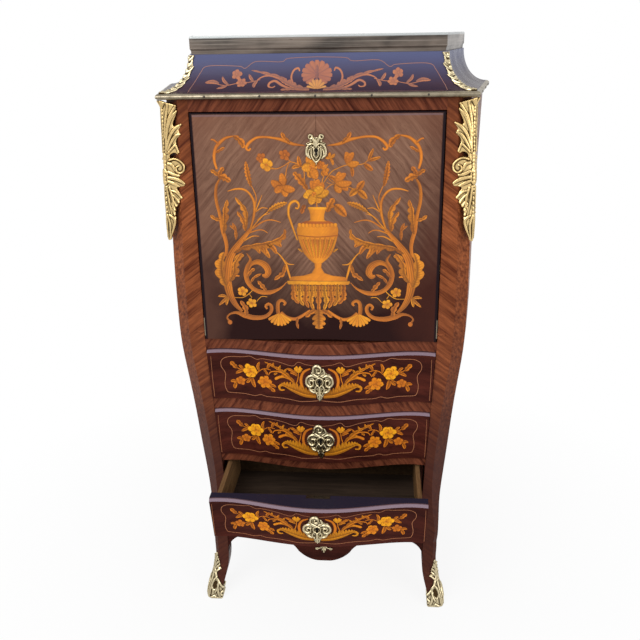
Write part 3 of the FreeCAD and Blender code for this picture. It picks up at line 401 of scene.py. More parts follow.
    def fan(self, base, radius, start, end, lobes, tone=0.35, mirror=True, squash=1.0, level=2):
        """Shell or palmette: round-ended lobes spread from one point."""
        rounding = (1.0, 1.0, 1.0, 1.0, 1.0, 1.0, 0.86, 0.45)
        wide = abs(math.radians(end - start)) / lobes * radius * 1.12
        for k in range(lobes):
            angle = math.radians(start + (end - start) * (k + 0.5) / lobes)
            tip = Vector((math.cos(angle), math.sin(angle) * squash)) * radius
            side = Vector((-tip.y, tip.x)).normalized()
            rows = []
            burns = []
            for i, share in enumerate(rounding):
                t = i / (len(rounding) - 1)
                half = wide / 2 * (0.12 + 0.88 * t) * share
                p = Vector(base) + tip * (0.06 + 0.94 * t)
                rows.append([p + side * half, p + side * half * 0.35, p - side * half * 0.35,
                             p - side * half])
                burns.append([0.75, 0.3 * (1 - t), 0.1, 0.35])
            self.piece(rows, burns, tone, level + k % 2, mirror)

    def turned(self, rows, tone, level=2):
        """Shape the same on both sides of the middle line, from (height, half width) rows."""
        shares = [c / 4 - 1 for c in range(9)]
        points = [[Vector((s * half, y)) for s in shares] for y, half in rows]
        shade = [0.55 * max(0.0, -s) ** 1.5 + 0.3 * max(0.0, s) ** 3 for s in shares]
        self.piece(points, [shade] * len(rows), tone, level, False)

    def lay(self, name, place, body, material):
        """All pieces as thin closed plates that follow the panel."""
        sizes = ornament()
        verts = []
        faces = []
        paint = []
        for index, (rows, burns, tone, grain, level) in enumerate(self.pieces):
            lift = sizes.inlay_lift + (LEVEL_STEP * level + STAGGER * (index % STAGGER_ROUND)) * MM
            columns = len(rows[0])
            start = len(verts)
            count = len(rows) * columns
            spots = [place(p.x, p.y) for row in rows for p in row]
            burn = [b for row in burns for b in row]
            verts += [spot + normal * lift for spot, normal in spots]
            verts += [spot - normal * sizes.inlay_depth for spot, normal in spots]
            paint += [(tone, b, grain, 1.0) for b in burn] * 2
            way = 1 if self.faces_up(spots, columns) else -1
            for r in range(len(rows) - 1):
                for c in range(columns - 1):
                    a = start + r * columns + c
                    quad = [a, a + 1, a + columns + 1, a + columns]
                    faces.append(quad[::way])
                    faces.append([i + count for i in quad][::-way])
            rim = [start + c for c in range(columns)]
            rim += [start + r * columns + columns - 1 for r in range(1, len(rows))]
            rim += [start + (len(rows) - 1) * columns + c for c in range(columns - 2, -1, -1)]
            rim += [start + r * columns for r in range(len(rows) - 2, 0, -1)]
            for a, b in zip(rim, rim[1:] + rim[:1]):
                faces.append([b, a, a + count, b + count][::way])
        mesh = mesh_of(name, verts, faces)
        paint_points(mesh, "inlay", paint)
        return new_object(name, mesh, material, body)

    @staticmethod
    def faces_up(spots, columns):
        """Whether rows and columns in drawing order turn the way that faces out."""
        total = 0.0
        for r in range(len(spots) // columns - 1):
            a, normal = spots[r * columns]
            b = spots[r * columns + columns - 1][0]
            c = spots[(r + 1) * columns][0]
            total += (b - a).cross(c - a).dot(normal)
        return total > 0


class Relief:
    """Cast mount in low relief, raised from strokes on a flat grid in millimetres."""

    # Millimetres of the thinnest casting and of a pit's floor, passes that find the hollows and
    # smooth the rim, and the dirt on an even face
    thinnest = 0.35
    pit_height = 0.7
    softening = 5
    rim_passes = 4
    clean_share = 0.32

    def __init__(self, low, high, cell):
        self.cell = cell
        self.xs = np.arange(low[0], high[0] + cell / 2, cell)
        self.ys = np.arange(low[1], high[1] + cell / 2, cell)
        self.x, self.y = np.meshgrid(self.xs, self.ys)
        self.height = np.zeros_like(self.x)
        self.open = np.zeros_like(self.x, bool)
        self.pits = np.zeros_like(self.x, bool)

    def bump(self, centre, radius, height, both=True):
        for side in sides(both):
            q = ((self.x - centre[0] * side) ** 2 + (self.y - centre[1]) ** 2) / radius ** 2
            self.height = np.maximum(self.height, height * np.sqrt(np.clip(1 - q, 0, None)))

    def stroke(self, points, widths, height, both=True, groove=0.0, beads=0):
        """Rounded bar along a curve, with a vein cut along it or beads raised on it."""
        line, count = even_line(points, 0.22 * max(1.5, min(widths)), 6, 6)
        for side in sides(both):
            raised = np.zeros_like(self.height)
            vein = np.zeros_like(self.height)
            for k, p in enumerate(line):
                half = blend_list(widths, k / count) / 2
                q = ((self.x - p.x * side) ** 2 + (self.y - p.y) ** 2) / half ** 2
                tall = height * (0.55 + 0.45 * min(1.0, half / max(widths) * 2))
                if beads:
                    tall *= 0.72 + 0.28 * math.cos(2 * math.pi * beads * k / count)
                raised = np.maximum(raised, tall * np.sqrt(np.clip(1 - q, 0, None)))
                if groove:
                    cut = groove * np.exp(-q * half ** 2 / 0.8) * math.sin(math.pi * k / count)
                    vein = np.maximum(vein, cut)
            self.height = np.maximum(self.height, raised - vein)

    def fill(self, outline, height, edge, both=True):
        """Body inside an outline, rounded down to its rim over the width of the edge."""
        line = smooth_line(outline, 4 * len(outline), True)
        for side in sides(both):
            inside = np.zeros_like(self.open)
            near = np.full_like(self.height, 1e6)
            for a, b in zip(line, line[1:] + line[:1]):
                ax, dx, dy = a.x * side, (b.x - a.x) * side, b.y - a.y
                x, y = self.x - ax, self.y - a.y
                share = np.clip((x * dx + y * dy) / (dx * dx + dy * dy + TINY), 0, 1)
                near = np.minimum(near, np.hypot(x - share * dx, y - share * dy))
                if abs(dy) > TINY:
                    level = (a.y > self.y) != (b.y > self.y)
                    inside ^= level & (self.x < ax + dx * y / dy)
            rim = 1 - np.clip(near / edge, 0, 1)
            body = height * (0.4 + 0.6 * np.sqrt(1 - rim * rim))
            self.height = np.maximum(self.height, np.where(inside, body, 0))

    def pit(self, centre, wide, tall):
        """Pair of sunk eyes, as dark as the darkest hollow."""
        for side in sides(True):
            x, y = self.x - centre[0] * side, self.y - centre[1]
            inside = (x / wide) ** 2 + (y / tall) ** 2 < 1
            self.height = np.where(inside, np.minimum(self.height, self.pit_height), self.height)
            self.pits |= inside

    def ring(self, centre, radius, width, height, both=False, spread=1.0):
        turns = [2 * math.pi * k / 12 for k in range(13)]
        points = [(centre[0] + radius * math.cos(turn), centre[1] + radius * spread * math.sin(turn))
                  for turn in turns]
        self.stroke(points, [width, width], height, both)

    def pierce(self, radius, drop, slot):
        """Keyhole right through the middle of the mount."""
        self.open |= self.x ** 2 + self.y ** 2 < radius ** 2
        self.open |= (np.abs(self.x) < slot / 2) & (self.y < 0) & (self.y > -drop)

    def hollows(self):
        """How dirty each point is: dirt gathers where the relief lies lower than its neighbours."""
        soft = self.height.copy()
        for _ in range(self.softening):
            padded = np.pad(soft, 1, mode="edge")
            soft = (padded[:-2, 1:-1] + padded[2:, 1:-1] + padded[1:-1, :-2] + padded[1:-1, 2:]) / 4
        return np.where(self.pits, 1.0, np.clip(soft - self.height + self.clean_share, 0, 1))

    def cast(self, name, place, body, material, replaced):
        """Closed mesh of the relief, bedded into what carries it."""
        solid = (self.height > self.thinnest) & ~self.open
        cavity = self.hollows()
        bm = bmesh.new()
        tall = bm.verts.layers.float.new("tall")
        dirt = bm.verts.layers.float.new("dirt")
        index = {}
        for r, c in np.argwhere(solid):
            vert = bm.verts.new((self.xs[c], self.ys[r], 0.0))
            vert[tall] = float(self.height[r, c])
            vert[dirt] = float(cavity[r, c])
            index[(r, c)] = vert
        corners = solid[:-1, :-1].astype(int) + solid[1:, :-1] + solid[:-1, 1:] + solid[1:, 1:]
        for r, c in np.argwhere(corners >= 3):
            ring = [index.get(k) for k in ((r, c), (r, c + 1), (r + 1, c + 1), (r + 1, c))]
            bm.faces.new([v for v in ring if v is not None])
        loose = [v for v in bm.verts if not v.link_faces]
        bmesh.ops.delete(bm, geom=loose, context="VERTS")
        for _ in range(self.rim_passes):
            moved = {}
            for vert in bm.verts:
                rim = [e.other_vert(vert) for e in vert.link_edges if e.is_boundary]
                if len(rim) == 2:
                    moved[vert] = vert.co * 0.4 + (rim[0].co + rim[1].co) * 0.3
            for vert, spot in moved.items():
                vert.co = spot
        result = bmesh.ops.extrude_face_region(bm, geom=bm.faces[:], use_keep_orig=True)
        top = {v for v in result["geom"] if isinstance(v, bmesh.types.BMVert)}
        bed = ornament().mount_bed
        for vert in bm.verts:
            spot, normal = place(vert.co.x, vert.co.y)
            if vert in top:
                vert.co = spot + normal * (vert[tall] * MM)
            else:
                vert.co = spot - normal * bed
                vert[dirt] = 1.0
        bmesh.ops.recalc_face_normals(bm, faces=bm.faces[:])
        mesh = bpy.data.meshes.new(name)
        shades = [v[dirt] for v in bm.verts]
        bm.to_mesh(mesh)
        bm.free()
        smooth_faces(mesh)
        paint_points(mesh, "hollow", [(d, d, d, 1.0) for d in shades])
        return new_object(name, mesh, material, body, replaced)


# Shader groups and materials


def toned(colour, share):
    return [c * share for c in colour]


def feed(tree, socket, value):
    """Link another socket into this one, or set its own value."""
    if isinstance(value, bpy.types.NodeSocket):
        tree.links.new(value, socket)
    else:
        socket.default_value = value


def feed_all(tree, node, inputs):
    for key, value in inputs.items():
        feed(tree, node.inputs[key], value)


def add(tree, kind, inputs=None, **settings):
    node = tree.nodes.new(kind)
    for key, value in settings.items():
        setattr(node, key, value)
    feed_all(tree, node, inputs or {})
    return node


def mix(tree, factor, a, b):
    """Colour between a and b; each may be a socket or a fixed colour."""
    node = add(tree, "ShaderNodeMix", {0: factor}, data_type="RGBA")
    for slot, value in ((6, a), (7, b)):
        fixed = not isinstance(value, bpy.types.NodeSocket)
        feed(tree, node.inputs[slot], (*value[:3], 1.0) if fixed else value)
    return node.outputs[2]


def math_node(tree, operation, a, b=0.5, clamp=False):
    node = add(tree, "ShaderNodeMath", {0: a, 1: b}, operation=operation, use_clamp=clamp)
    return node.outputs[0]


def times(tree, a, b):
    return math_node(tree, "MULTIPLY", a, b)


def plus(tree, a, b, clamp=False):
    return math_node(tree, "ADD", a, b, clamp)


def minus(tree, a, b):
    return math_node(tree, "SUBTRACT", a, b)


def size_of(tree, value):
    return math_node(tree, "ABSOLUTE", value)


def spread(tree, value, low, high, new_low=0.0, new_high=1.0):
    node = add(tree, "ShaderNodeMapRange", {"Value": value, "From Min": low, "From Max": high,
                                            "To Min": new_low, "To Max": new_high})
    return node.outputs[0]


def noise(tree, vector, scale, detail, roughness=0.5):
    node = add(tree, "ShaderNodeTexNoise", {"Vector": vector, "Scale": scale, "Detail": detail,
                                            "Roughness": roughness})
    return node.outputs["Fac"]


def mapped(tree, vector, **changes):
    return add(tree, "ShaderNodeMapping", {"Vector": vector, **changes}).outputs[0]


def split(tree, vector):
    return add(tree, "ShaderNodeSeparateXYZ", {0: vector}).outputs


def spot_of(tree):
    return add(tree, "ShaderNodeTexCoord").outputs["Object"]


def face_part(tree, axis):
    """How far the surface faces along an axis of its own object."""
    return split(tree, add(tree, "ShaderNodeTexCoord").outputs["Normal"])[axis]


def object_vector(tree, rotation, mirror=False, flank=None):
    """Object coordinates, turned; where asked, mirrored or turned another way on the flanks."""
    spot = spot_of(tree)
    if mirror:
        x, y, z = split(tree, spot)
        spot = add(tree, "ShaderNodeCombineXYZ", {0: size_of(tree, x), 1: y, 2: z}).outputs[0]
    turned = mapped(tree, spot, Rotation=rotation)
    if flank is None:
        return turned
    facing = math_node(tree, "GREATER_THAN", size_of(tree, face_part(tree, 0)), 0.75)
    sideways = mapped(tree, spot, Rotation=flank)
    chosen = add(tree, "ShaderNodeMix", {0: facing, 4: turned, 5: sideways}, data_type="VECTOR")
    return chosen.outputs[1]


def new_group(name, values, outputs):
    """Shader group with a vector and some values in, and values out."""
    tree = bpy.data.node_groups.new(name, "ShaderNodeTree")
    tree.interface.new_socket(name="Vector", in_out="INPUT", socket_type="NodeSocketVector")
    for label, default in values.items():
        socket = tree.interface.new_socket(name=label, in_out="INPUT", socket_type="NodeSocketFloat")
        socket.default_value = default
    for label in outputs:
        tree.interface.new_socket(name=label, in_out="OUTPUT", socket_type="NodeSocketFloat")
    return tree, tree.nodes.new("NodeGroupInput").outputs, tree.nodes.new("NodeGroupOutput")


def veneer_group():
    """Streaks, pores and cloudiness of a sawn veneer along the vector's Z."""
    tree, source, sink = new_group("Veneer Figure", {"Fineness": 60.0, "Wander": 0.5},
                                   ("Streak", "Pores", "Cloud"))
    vector, fineness = source["Vector"], source["Fineness"]
    warp = add(tree, "ShaderNodeTexNoise", {"Vector": vector, "Scale": 9.0, "Detail": 2.0})
    bent = add(tree, "ShaderNodeVectorMath", {0: warp.outputs["Color"], 1: (0.5, 0.5, 0.5)},
               operation="SUBTRACT")
    push = times(tree, source["Wander"], 0.03)
    scaled = add(tree, "ShaderNodeVectorMath", {0: bent.outputs[0], "Scale": push}, operation="SCALE")
    moved = add(tree, "ShaderNodeVectorMath", {0: vector, 1: scaled.outputs[0]}, operation="ADD")
    long = mapped(tree, moved.outputs[0], Scale=(1.0, 1.0, 0.045))
    feed_all(tree, sink, {
        "Streak": spread(tree, noise(tree, long, fineness, 5.0, 0.62), 0.32, 0.68),
        "Pores": spread(tree, noise(tree, long, times(tree, fineness, 9.0), 2.0), 0.56, 0.7),
        "Cloud": spread(tree, noise(tree, vector, 5.5, 3.0), 0.3, 0.7),
    })
    return tree


def age_group():
    """Tarnish in hollows, rubbed high spots and fine grit of old metal."""
    tree, source, sink = new_group("Metal Age", {"Hollow": 0.3}, ("Tarnish", "Roughness", "Height"))
    patch = noise(tree, source["Vector"], 60.0, 5.0, 0.65)
    grit = noise(tree, source["Vector"], 900.0, 2.0)
    clouded = times(tree, spread(tree, patch, 0.4, 0.75), 0.35)
    tarnish = plus(tree, spread(tree, source["Hollow"], 0.34, 0.8), clouded, True)
    feed_all(tree, sink, {
        "Tarnish": tarnish,
        "Roughness": spread(tree, tarnish, 0.0, 1.0, 0.22, 0.62),
        "Height": plus(tree, times(tree, grit, 0.5), patch),
    })
    return tree


def polish_group():
    """Old hand polish: uneven gloss and faint scratches."""
    tree, source, sink = new_group("Old Polish", {"Gloss": 0.25}, ("Roughness", "Height"))
    cloud = noise(tree, source["Vector"], 14.0, 4.0)
    thin = mapped(tree, source["Vector"], Scale=(260.0, 260.0, 16.0), Rotation=(0.4, 0.9, 0.3))
    marks = spread(tree, noise(tree, thin, 1.0, 1.0), 0.66, 0.74)
    rough = plus(tree, source["Gloss"], spread(tree, cloud, 0.3, 0.7, -0.06, 0.09))
    feed_all(tree, sink, {
        "Roughness": plus(tree, rough, times(tree, marks, 0.1)),
        "Height": plus(tree, cloud, times(tree, marks, -0.3)),
    })
    return tree


GROUP_MAKERS = {"Veneer Figure": veneer_group, "Metal Age": age_group, "Old Polish": polish_group}
GROUPS = {}


def group(tree, name, **inputs):
    """Outputs of one of the shared groups."""
    if name not in GROUPS:
        GROUPS[name] = GROUP_MAKERS[name]()
    return add(tree, "ShaderNodeGroup", inputs, node_tree=GROUPS[name]).outputs


def bare_tree(owner):
    """Emptied shader tree of a material or a world."""
    owner.use_nodes = True
    owner.node_tree.nodes.clear()
    return owner.node_tree


def new_material(name):
    material = bpy.data.materials.new(name)
    tree = bare_tree(material)
    shader = tree.nodes.new("ShaderNodeBsdfPrincipled")
    add(tree, "ShaderNodeOutputMaterial", {"Surface": shader.outputs["BSDF"]})
    return material, tree, shader


def bump_of(tree, height, strength, distance):
    return add(tree, "ShaderNodeBump", {"Height": height, "Strength": strength,
                                        "Distance": distance}).outputs[0]


def wood(name, light, dark, rotation, fineness, wander, gloss, coat=0.0, mirror=False, extra=None,
         flank=None):
    """Polished veneer or plain board; extra may change its colour before it is used."""
    material, tree, shader = new_material(name)
    vector = object_vector(tree, rotation, mirror, flank)
    figure = group(tree, "Veneer Figure", Vector=vector, Fineness=fineness, Wander=wander)
    polish = group(tree, "Old Polish", Vector=vector, Gloss=gloss)
    base = mix(tree, figure["Streak"], dark, light)
    cloudy = mix(tree, times(tree, figure["Cloud"], 0.35), base, toned(dark, 0.62))
    shade = mix(tree, times(tree, figure["Pores"], 0.45), cloudy, toned(dark, 0.45))
    height = plus(tree, polish["Height"], times(tree, figure["Pores"], -0.5))
    feed_all(tree, shader, {
        "Base Color": extra(tree, shade) if extra else shade,
        "Roughness": polish["Roughness"],
        "Specular IOR Level": 0.035,
        "Coat Weight": coat,
        "Coat Roughness": 0.12,
        "Normal": bump_of(tree, height, 0.25, 0.0004),
    })
    return material


def metal(name, shade, gloss_shift=0.0, tarnish_share=1.0, hollows=True):
    """Old bronze, brass or iron, with tarnish where a mount is hollow."""
    material, tree, shader = new_material(name)
    hollow = 0.3
    if hollows:
        hollow = add(tree, "ShaderNodeAttribute", attribute_name="hollow").outputs["Fac"]
    age = group(tree, "Metal Age", Vector=spot_of(tree), Hollow=hollow)
    dirt = times(tree, age["Tarnish"], tarnish_share)
    feed_all(tree, shader, {
        "Base Color": mix(tree, dirt, shade, finish().tarnish),
        "Roughness": plus(tree, age["Roughness"], gloss_shift),
        "Metallic": 1.0,
        "Normal": bump_of(tree, age["Height"], 0.3, 0.0003),
    })
    return material


def turned_grain(degrees):
    return (0, math.radians(degrees), 0)


DIAGONAL = math.radians(52)
SIDE_GRAIN = (DIAGONAL, 0, 0)
DEEP_GRAIN = (math.radians(90), 0, 0)
LEVEL_GRAIN = turned_grain(90)
BACK_BOARD = 0.117


def lining(tree, shade, light, dark, fineness):
    """Plain level grain on the faces that look back, inside a front."""
    vector = object_vector(tree, LEVEL_GRAIN)
    figure = group(tree, "Veneer Figure", Vector=vector, Fineness=fineness, Wander=0.5)
    inside = spread(tree, face_part(tree, 1), 0.5, 0.9)
    return mix(tree, inside, shade, mix(tree, figure["Streak"], dark, light))


def board_joints(tree, shade):
    """Boards of the back, each a little different, with dark joints between them."""
    f = finish()
    share = times(tree, split(tree, spot_of(tree))[0], 1 / BACK_BOARD)
    board = math_node(tree, "FLOOR", share)
    tint = add(tree, "ShaderNodeTexWhiteNoise", {"W": board}, noise_dimensions="1D")
    varied = mix(tree, times(tree, tint.outputs["Value"], 0.45), shade, f.oak_dark)
    edge = size_of(tree, minus(tree, math_node(tree, "FRACT", share), 0.5))
    return mix(tree, spread(tree, edge, 0.487, 0.494, 0.0, 0.85), varied, (0.012, 0.008, 0.005))


def bevel_painted_sheen(tree, shade):
    """Painted sheen low on the drawers' bevels, less of it near their upper edges, painted shade on
    their level tops, and an oak inside.
    """
    f = finish()
    up = face_part(tree, 2)
    slope = times(tree, spread(tree, up, 0.3, 0.5), spread(tree, up, 0.95, 0.85))
    height = split(tree, spot_of(tree))[2]
    below = 1.0
    for drawer in DRAWERS:
        gap = size_of(tree, minus(tree, height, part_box(drawer + "_front")[1].z))
        below = math_node(tree, "MINIMUM", below, gap)
    # Painted sheen, weaker near the top edge of each bevel.
    lower = times(tree, slope, spread(tree, below, 0.0008, 0.0022, 0.15, 0.85))
    pale = mix(tree, lower, shade, f.painted_sheen)
    # Painted shade on the level tops of the fronts.
    flat = mix(tree, spread(tree, up, 0.9, 0.97), pale, (0.022, 0.018, 0.034))
    return lining(tree, flat, f.oak_light, f.oak_dark, 70)


def painted_shade_low_and_high(tree, shade):
    """Painted shade on the veneer: darker towards the floor and under the cornice."""
    height = split(tree, spot_of(tree))[2]
    dims_below, dimmest = 0.88, 0.4
    shaded_above, shadiest = 1.08, 1.26
    low = spread(tree, height, dims_below, dimmest, 0.0, 0.85)
    high = spread(tree, height, shaded_above, shadiest, 0.0, 0.5)
    return mix(tree, high, mix(tree, low, shade, (0.046, 0.016, 0.014)), (0.06, 0.018, 0.011))


def fall_painted_light(tree, shade):
    """Ground of the fall: painted sheen in the middle, painted shade low down and on the right, a
    redder top, a dark centre joint, a painted shadow round the rim and a painted highlight on the
    crest.
    """
    f = finish()
    end, _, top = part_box("fall_panel")[1]
    x, _, up = split(tree, spot_of(tree))
    wide = size_of(tree, x)
    uneven = spread(tree, noise(tree, spot_of(tree), 7.0, 4.0), 0.3, 0.7, -0.04, 0.04)
    ragged = plus(tree, up, uneven)
    bulge = minus(tree, ragged, times(tree, wide, 0.42))
    right = plus(tree, x, uneven)
    left = minus(tree, uneven, x)
    # Band just under the top edge of the fall that takes a painted highlight.
    crest = times(tree, spread(tree, up, top - 0.0085, top - 0.0065),
                  spread(tree, up, top - 0.0035, top - 0.005))
    # Outer edges and top edge of the fall that take a painted shadow.
    rim = math_node(tree, "MAXIMUM", spread(tree, wide, end - 0.0075, end - 0.005),
                    spread(tree, up, top - 0.0045, top - 0.0025))
    for share, stain in (
            # Painted sheen and shade: the middle stays light and low down is darkened.
            (spread(tree, bulge, top - 0.301, top - 0.461), (0.02, 0.0075, 0.007)),
            # Painted shade from the side: the right edge is darkened more than the left.
            (spread(tree, right, end - 0.095, end - 0.015, 0.0, 0.62), (0.06, 0.018, 0.012)),
            (spread(tree, left, end - 0.065, end - 0.003, 0.0, 0.4), (0.15, 0.068, 0.045)),
            (spread(tree, wide, 0.0012, 0.0005, 0.0, 0.55), (0.02, 0.008, 0.007)),
            (spread(tree, ragged, top - 0.101, top - 0.001, 0.0, 0.45), (0.2, 0.085, 0.05)),
            # Painted highlight on the crest, then painted shadow round the rim.
            (times(tree, crest, 0.5), toned(f.painted_sheen, 0.6)),
            (rim, (0.012, 0.007, 0.009))):
        shade = mix(tree, share, shade, stain)
    return lining(tree, shade, f.interior_light, f.interior_dark, 60)


def dark_back(tree, shade):
    """Oak in the shade where a drawer's back faces the front."""
    back = spread(tree, face_part(tree, 1), -0.6, -0.9, 0.0, 0.85)
    return mix(tree, back, shade, (0.02, 0.013, 0.008))


def cove_painted_reflection(tree, shade):
    """Painted reflection: a bluish sheen that grows up the hollow of the cornice, darker low down."""
    height = split(tree, spot_of(tree))[2]
    low, top = (corner.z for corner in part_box("cove_front"))
    # Painted reflection, bluer higher up the hollow.
    bluer = spread(tree, height, low + 0.01, top - 0.004)
    tint = mix(tree, bluer, (0.052, 0.042, 0.07), (0.095, 0.108, 0.205))
    return mix(tree, spread(tree, height, low - 0.002, top - 0.014, 0.62, 0.93), shade, tint)


def all_materials():
    """Every material of the desk, by name."""
    f = finish()
    king = f.kingwood_light, f.kingwood_dark
    rail = ([c * k for c, k in zip(f.kingwood_light, (0.62, 0.62, 0.85))],
            [c * k for c, k in zip(f.kingwood_dark, (0.56, 0.56, 0.8))])
    ground = f.drawer_light, f.drawer_dark
    oak = f.oak_light, f.oak_dark
    return {
        "kingwood": wood("Kingwood", *king, (0, DIAGONAL, 0), 150, 0.3, 0.3, mirror=True,
                         extra=painted_shade_low_and_high, flank=SIDE_GRAIN),
        "rail": wood("Kingwood Rails", *rail, turned_grain(34), 150, 0.35, 0.3, mirror=True),
        "sides": wood("Kingwood Sides", *king, SIDE_GRAIN, 130, 0.35, 0.3, extra=painted_shade_low_and_high),
        "fall": wood("Fall Veneer", f.ground_light, f.ground_dark, turned_grain(40), 125, 0.6, 0.27,
                     mirror=True, extra=fall_painted_light),
        "drawer": wood("Drawer Veneer", *ground, turned_grain(80), 45, 0.8, 0.27, mirror=True,
                       extra=bevel_painted_sheen),
        "cove": wood("Cove Veneer", *ground, turned_grain(85), 40, 0.7, 0.25, mirror=True,
                     extra=cove_painted_reflection),
        "top": wood("Top Veneer", toned(f.drawer_light, 1.5), f.drawer_dark, LEVEL_GRAIN, 60, 0.8, 0.25,
                    0.05, True),
        "oak": wood("Oak", *oak, DEEP_GRAIN, 85, 0.5, 0.6),
        "drawer oak": wood("Drawer Oak", *oak, DEEP_GRAIN, 85, 0.5, 0.6, extra=dark_back),
        "lining": wood("Drawer Lining", (0.085, 0.055, 0.038), (0.032, 0.022, 0.016), LEVEL_GRAIN, 50,
                       0.5, 0.6),
        "boards": wood("Back Boards", *oak, (0, 0, 0), 60, 0.5, 0.65, extra=board_joints),
        "interior": wood("Interior Veneer", f.interior_light, f.interior_dark, LEVEL_GRAIN, 60, 0.6,
                         0.35, 0.3),
        "gilt": metal("Gilt Bronze", f.gilt),
        "pale gilt": metal("Worn Gilt Bronze", f.pale_gilt),
        "brass": metal("Aged Brass", f.brass, 0.08, 0.6, False),
        "moulding": metal("Worn Moulding", f.moulding, 0.12, 1.6, False),
        "iron": metal("Lock Iron", f.iron, 0.15, 0.5, False),
        # Lock iron darkened further, as painted shade inside the keyholes.
        "keyhole": metal("Keyhole Iron In Painted Shade", toned(f.iron, 0.27), 0.2, 0.5, False),
        "band": band_material(),
        "inlay": inlay_material("Inlaid Woods", (0.3, 0.18, 0.1), 0.02, 0.15),
        "fall inlay": inlay_material("Fall Inlay", (0.3, 0.18, 0.12), 0.14, 0.5),
        "cove inlay": inlay_material("Cove Inlay", (0.27, 0.19, 0.22), 0.4, 0.5),
        "leather": leather_material(),
    }


def inlay_material(name, painted_sheen_veil, share, age):
    """Inlaid woods from pale to russet, scorched for shade, under a veil of painted sheen."""
    f = finish()
    material, tree, shader = new_material(name)
    paint = add(tree, "ShaderNodeAttribute", attribute_name="inlay").outputs["Color"]
    tone, burn, grain = add(tree, "ShaderNodeSeparateColor", {0: paint}).outputs
    spot = spot_of(tree)
    turn = add(tree, "ShaderNodeCombineXYZ", {1: times(tree, grain, 3.1)}).outputs[0]
    vector = mapped(tree, spot, Rotation=turn)
    figure = group(tree, "Veneer Figure", Vector=vector, Fineness=260.0, Wander=0.4)
    polish = group(tree, "Old Polish", Vector=spot, Gloss=0.3)
    shade = mix(tree, spread(tree, tone, 0.0, 0.42), f.boxwood, f.honey)
    for part, stain in (
            (spread(tree, tone, 0.5, 1.0), f.russet),
            (times(tree, figure["Streak"], 0.25), f.russet),
            (spread(tree, noise(tree, spot, 26.0, 4.0), 0.46, 0.68, 0.0, age), f.russet),
            (spread(tree, tone, 1.2, 1.4), f.tan),
            (times(tree, spread(tree, burn, 0.05, 1.0), 0.85), f.scorch),
            # Painted sheen: a pale veil over all the pieces.
            (share, painted_sheen_veil)):
        shade = mix(tree, part, shade, stain)
    feed_all(tree, shader, {
        "Base Color": shade,
        "Roughness": polish["Roughness"],
        "Specular IOR Level": 0.05,
        "Normal": bump_of(tree, figure["Pores"], 0.1, 0.0002),
    })
    return material


def band_material():
    """Brown polished band with cloudy worn lengths, long streaks raised in the bump and pale as painted
    reflection, and a painted highlight along its top arris.
    """
    f = finish()
    material, tree, shader = new_material("Polished Band")
    spot = spot_of(tree)
    streak = noise(tree, mapped(tree, spot, Scale=(2.2, 2.2, 260.0)), 1.6, 4.0)
    cloud = noise(tree, mapped(tree, spot, Scale=(5.0, 5.0, 12.0)), 1.3, 4.0)
    dull = mix(tree, spread(tree, cloud, 0.42, 0.6), toned(f.band, 0.22), f.band)
    # Painted reflection: pale streaks along the band.
    reflection_streaked = mix(tree, times(tree, spread(tree, streak, 0.5, 0.72), 0.6), dull, (0.3, 0.26, 0.22))
    level = spread(tree, face_part(tree, 2), 0.97, 0.8)
    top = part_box("top_band")[1].z
    near_top = spread(tree, split(tree, spot)[2], top - 0.0055, top - 0.004, 0.0, 0.8)
    # Painted highlight along the top arris.
    painted_arris_highlight = times(tree, near_top, level)
    feed_all(tree, shader, {
        "Base Color": mix(tree, painted_arris_highlight, reflection_streaked, (0.5, 0.53, 0.53)),
        "Roughness": spread(tree, cloud, 0.3, 0.7, 0.42, 0.25),
        "Metallic": 0.4,
        "Normal": bump_of(tree, streak, 0.2, 0.0003),
    })
    return material


def leather_material():
    """Green hide, rubbed with use, with a gilt tooled border."""
    f = finish()
    material, tree, shader = new_material("Writing Leather")
    spot = spot_of(tree)
    pebble, beads = (add(tree, "ShaderNodeTexVoronoi", {"Vector": spot, "Scale": scale},
                         feature="F1").outputs["Distance"] for scale in (620.0, 210.0))
    worn = noise(tree, spot, 12.0, 5.0)
    base = mix(tree, spread(tree, pebble, 0.0, 0.7), f.leather, toned(f.leather, 0.5))
    aged = mix(tree, times(tree, spread(tree, worn, 0.5, 0.75), 0.5), base, (0.12, 0.13, 0.06))
    low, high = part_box("writing_leather")
    x, _, z = split(tree, spot)
    from_end = minus(tree, high.x, size_of(tree, x))
    level = size_of(tree, minus(tree, z, (low.z + high.z) / 2))
    inset = math_node(tree, "MINIMUM", from_end, minus(tree, (high.z - low.z) / 2, level))
    lines = math_node(tree, "PINGPONG", plus(tree, inset, -0.0085), 0.0028)
    near = math_node(tree, "LESS_THAN", size_of(tree, minus(tree, inset, 0.0125)), 0.0055)
    border = times(tree, near, spread(tree, lines, 0.0007, 0.0011))
    rubbed = times(tree, border, spread(tree, worn, 0.62, 0.45, 0.25, 0.9))
    gilt = times(tree, rubbed, spread(tree, beads, 0.75, 0.55))
    feed_all(tree, shader, {
        "Base Color": mix(tree, gilt, aged, f.gilt),
        "Metallic": times(tree, gilt, 0.85),
        "Roughness": spread(tree, worn, 0.3, 0.7, 0.62, 0.45),
        "Normal": bump_of(tree, minus(tree, pebble, gilt), 0.35, 0.0004),
    })
    return material


MATERIALS = {}


def material(name):
    if not MATERIALS:
        MATERIALS.update(all_materials())
    return MATERIALS[name]


# Ornament, drawn in millimetres. The left half is drawn and mirrored.


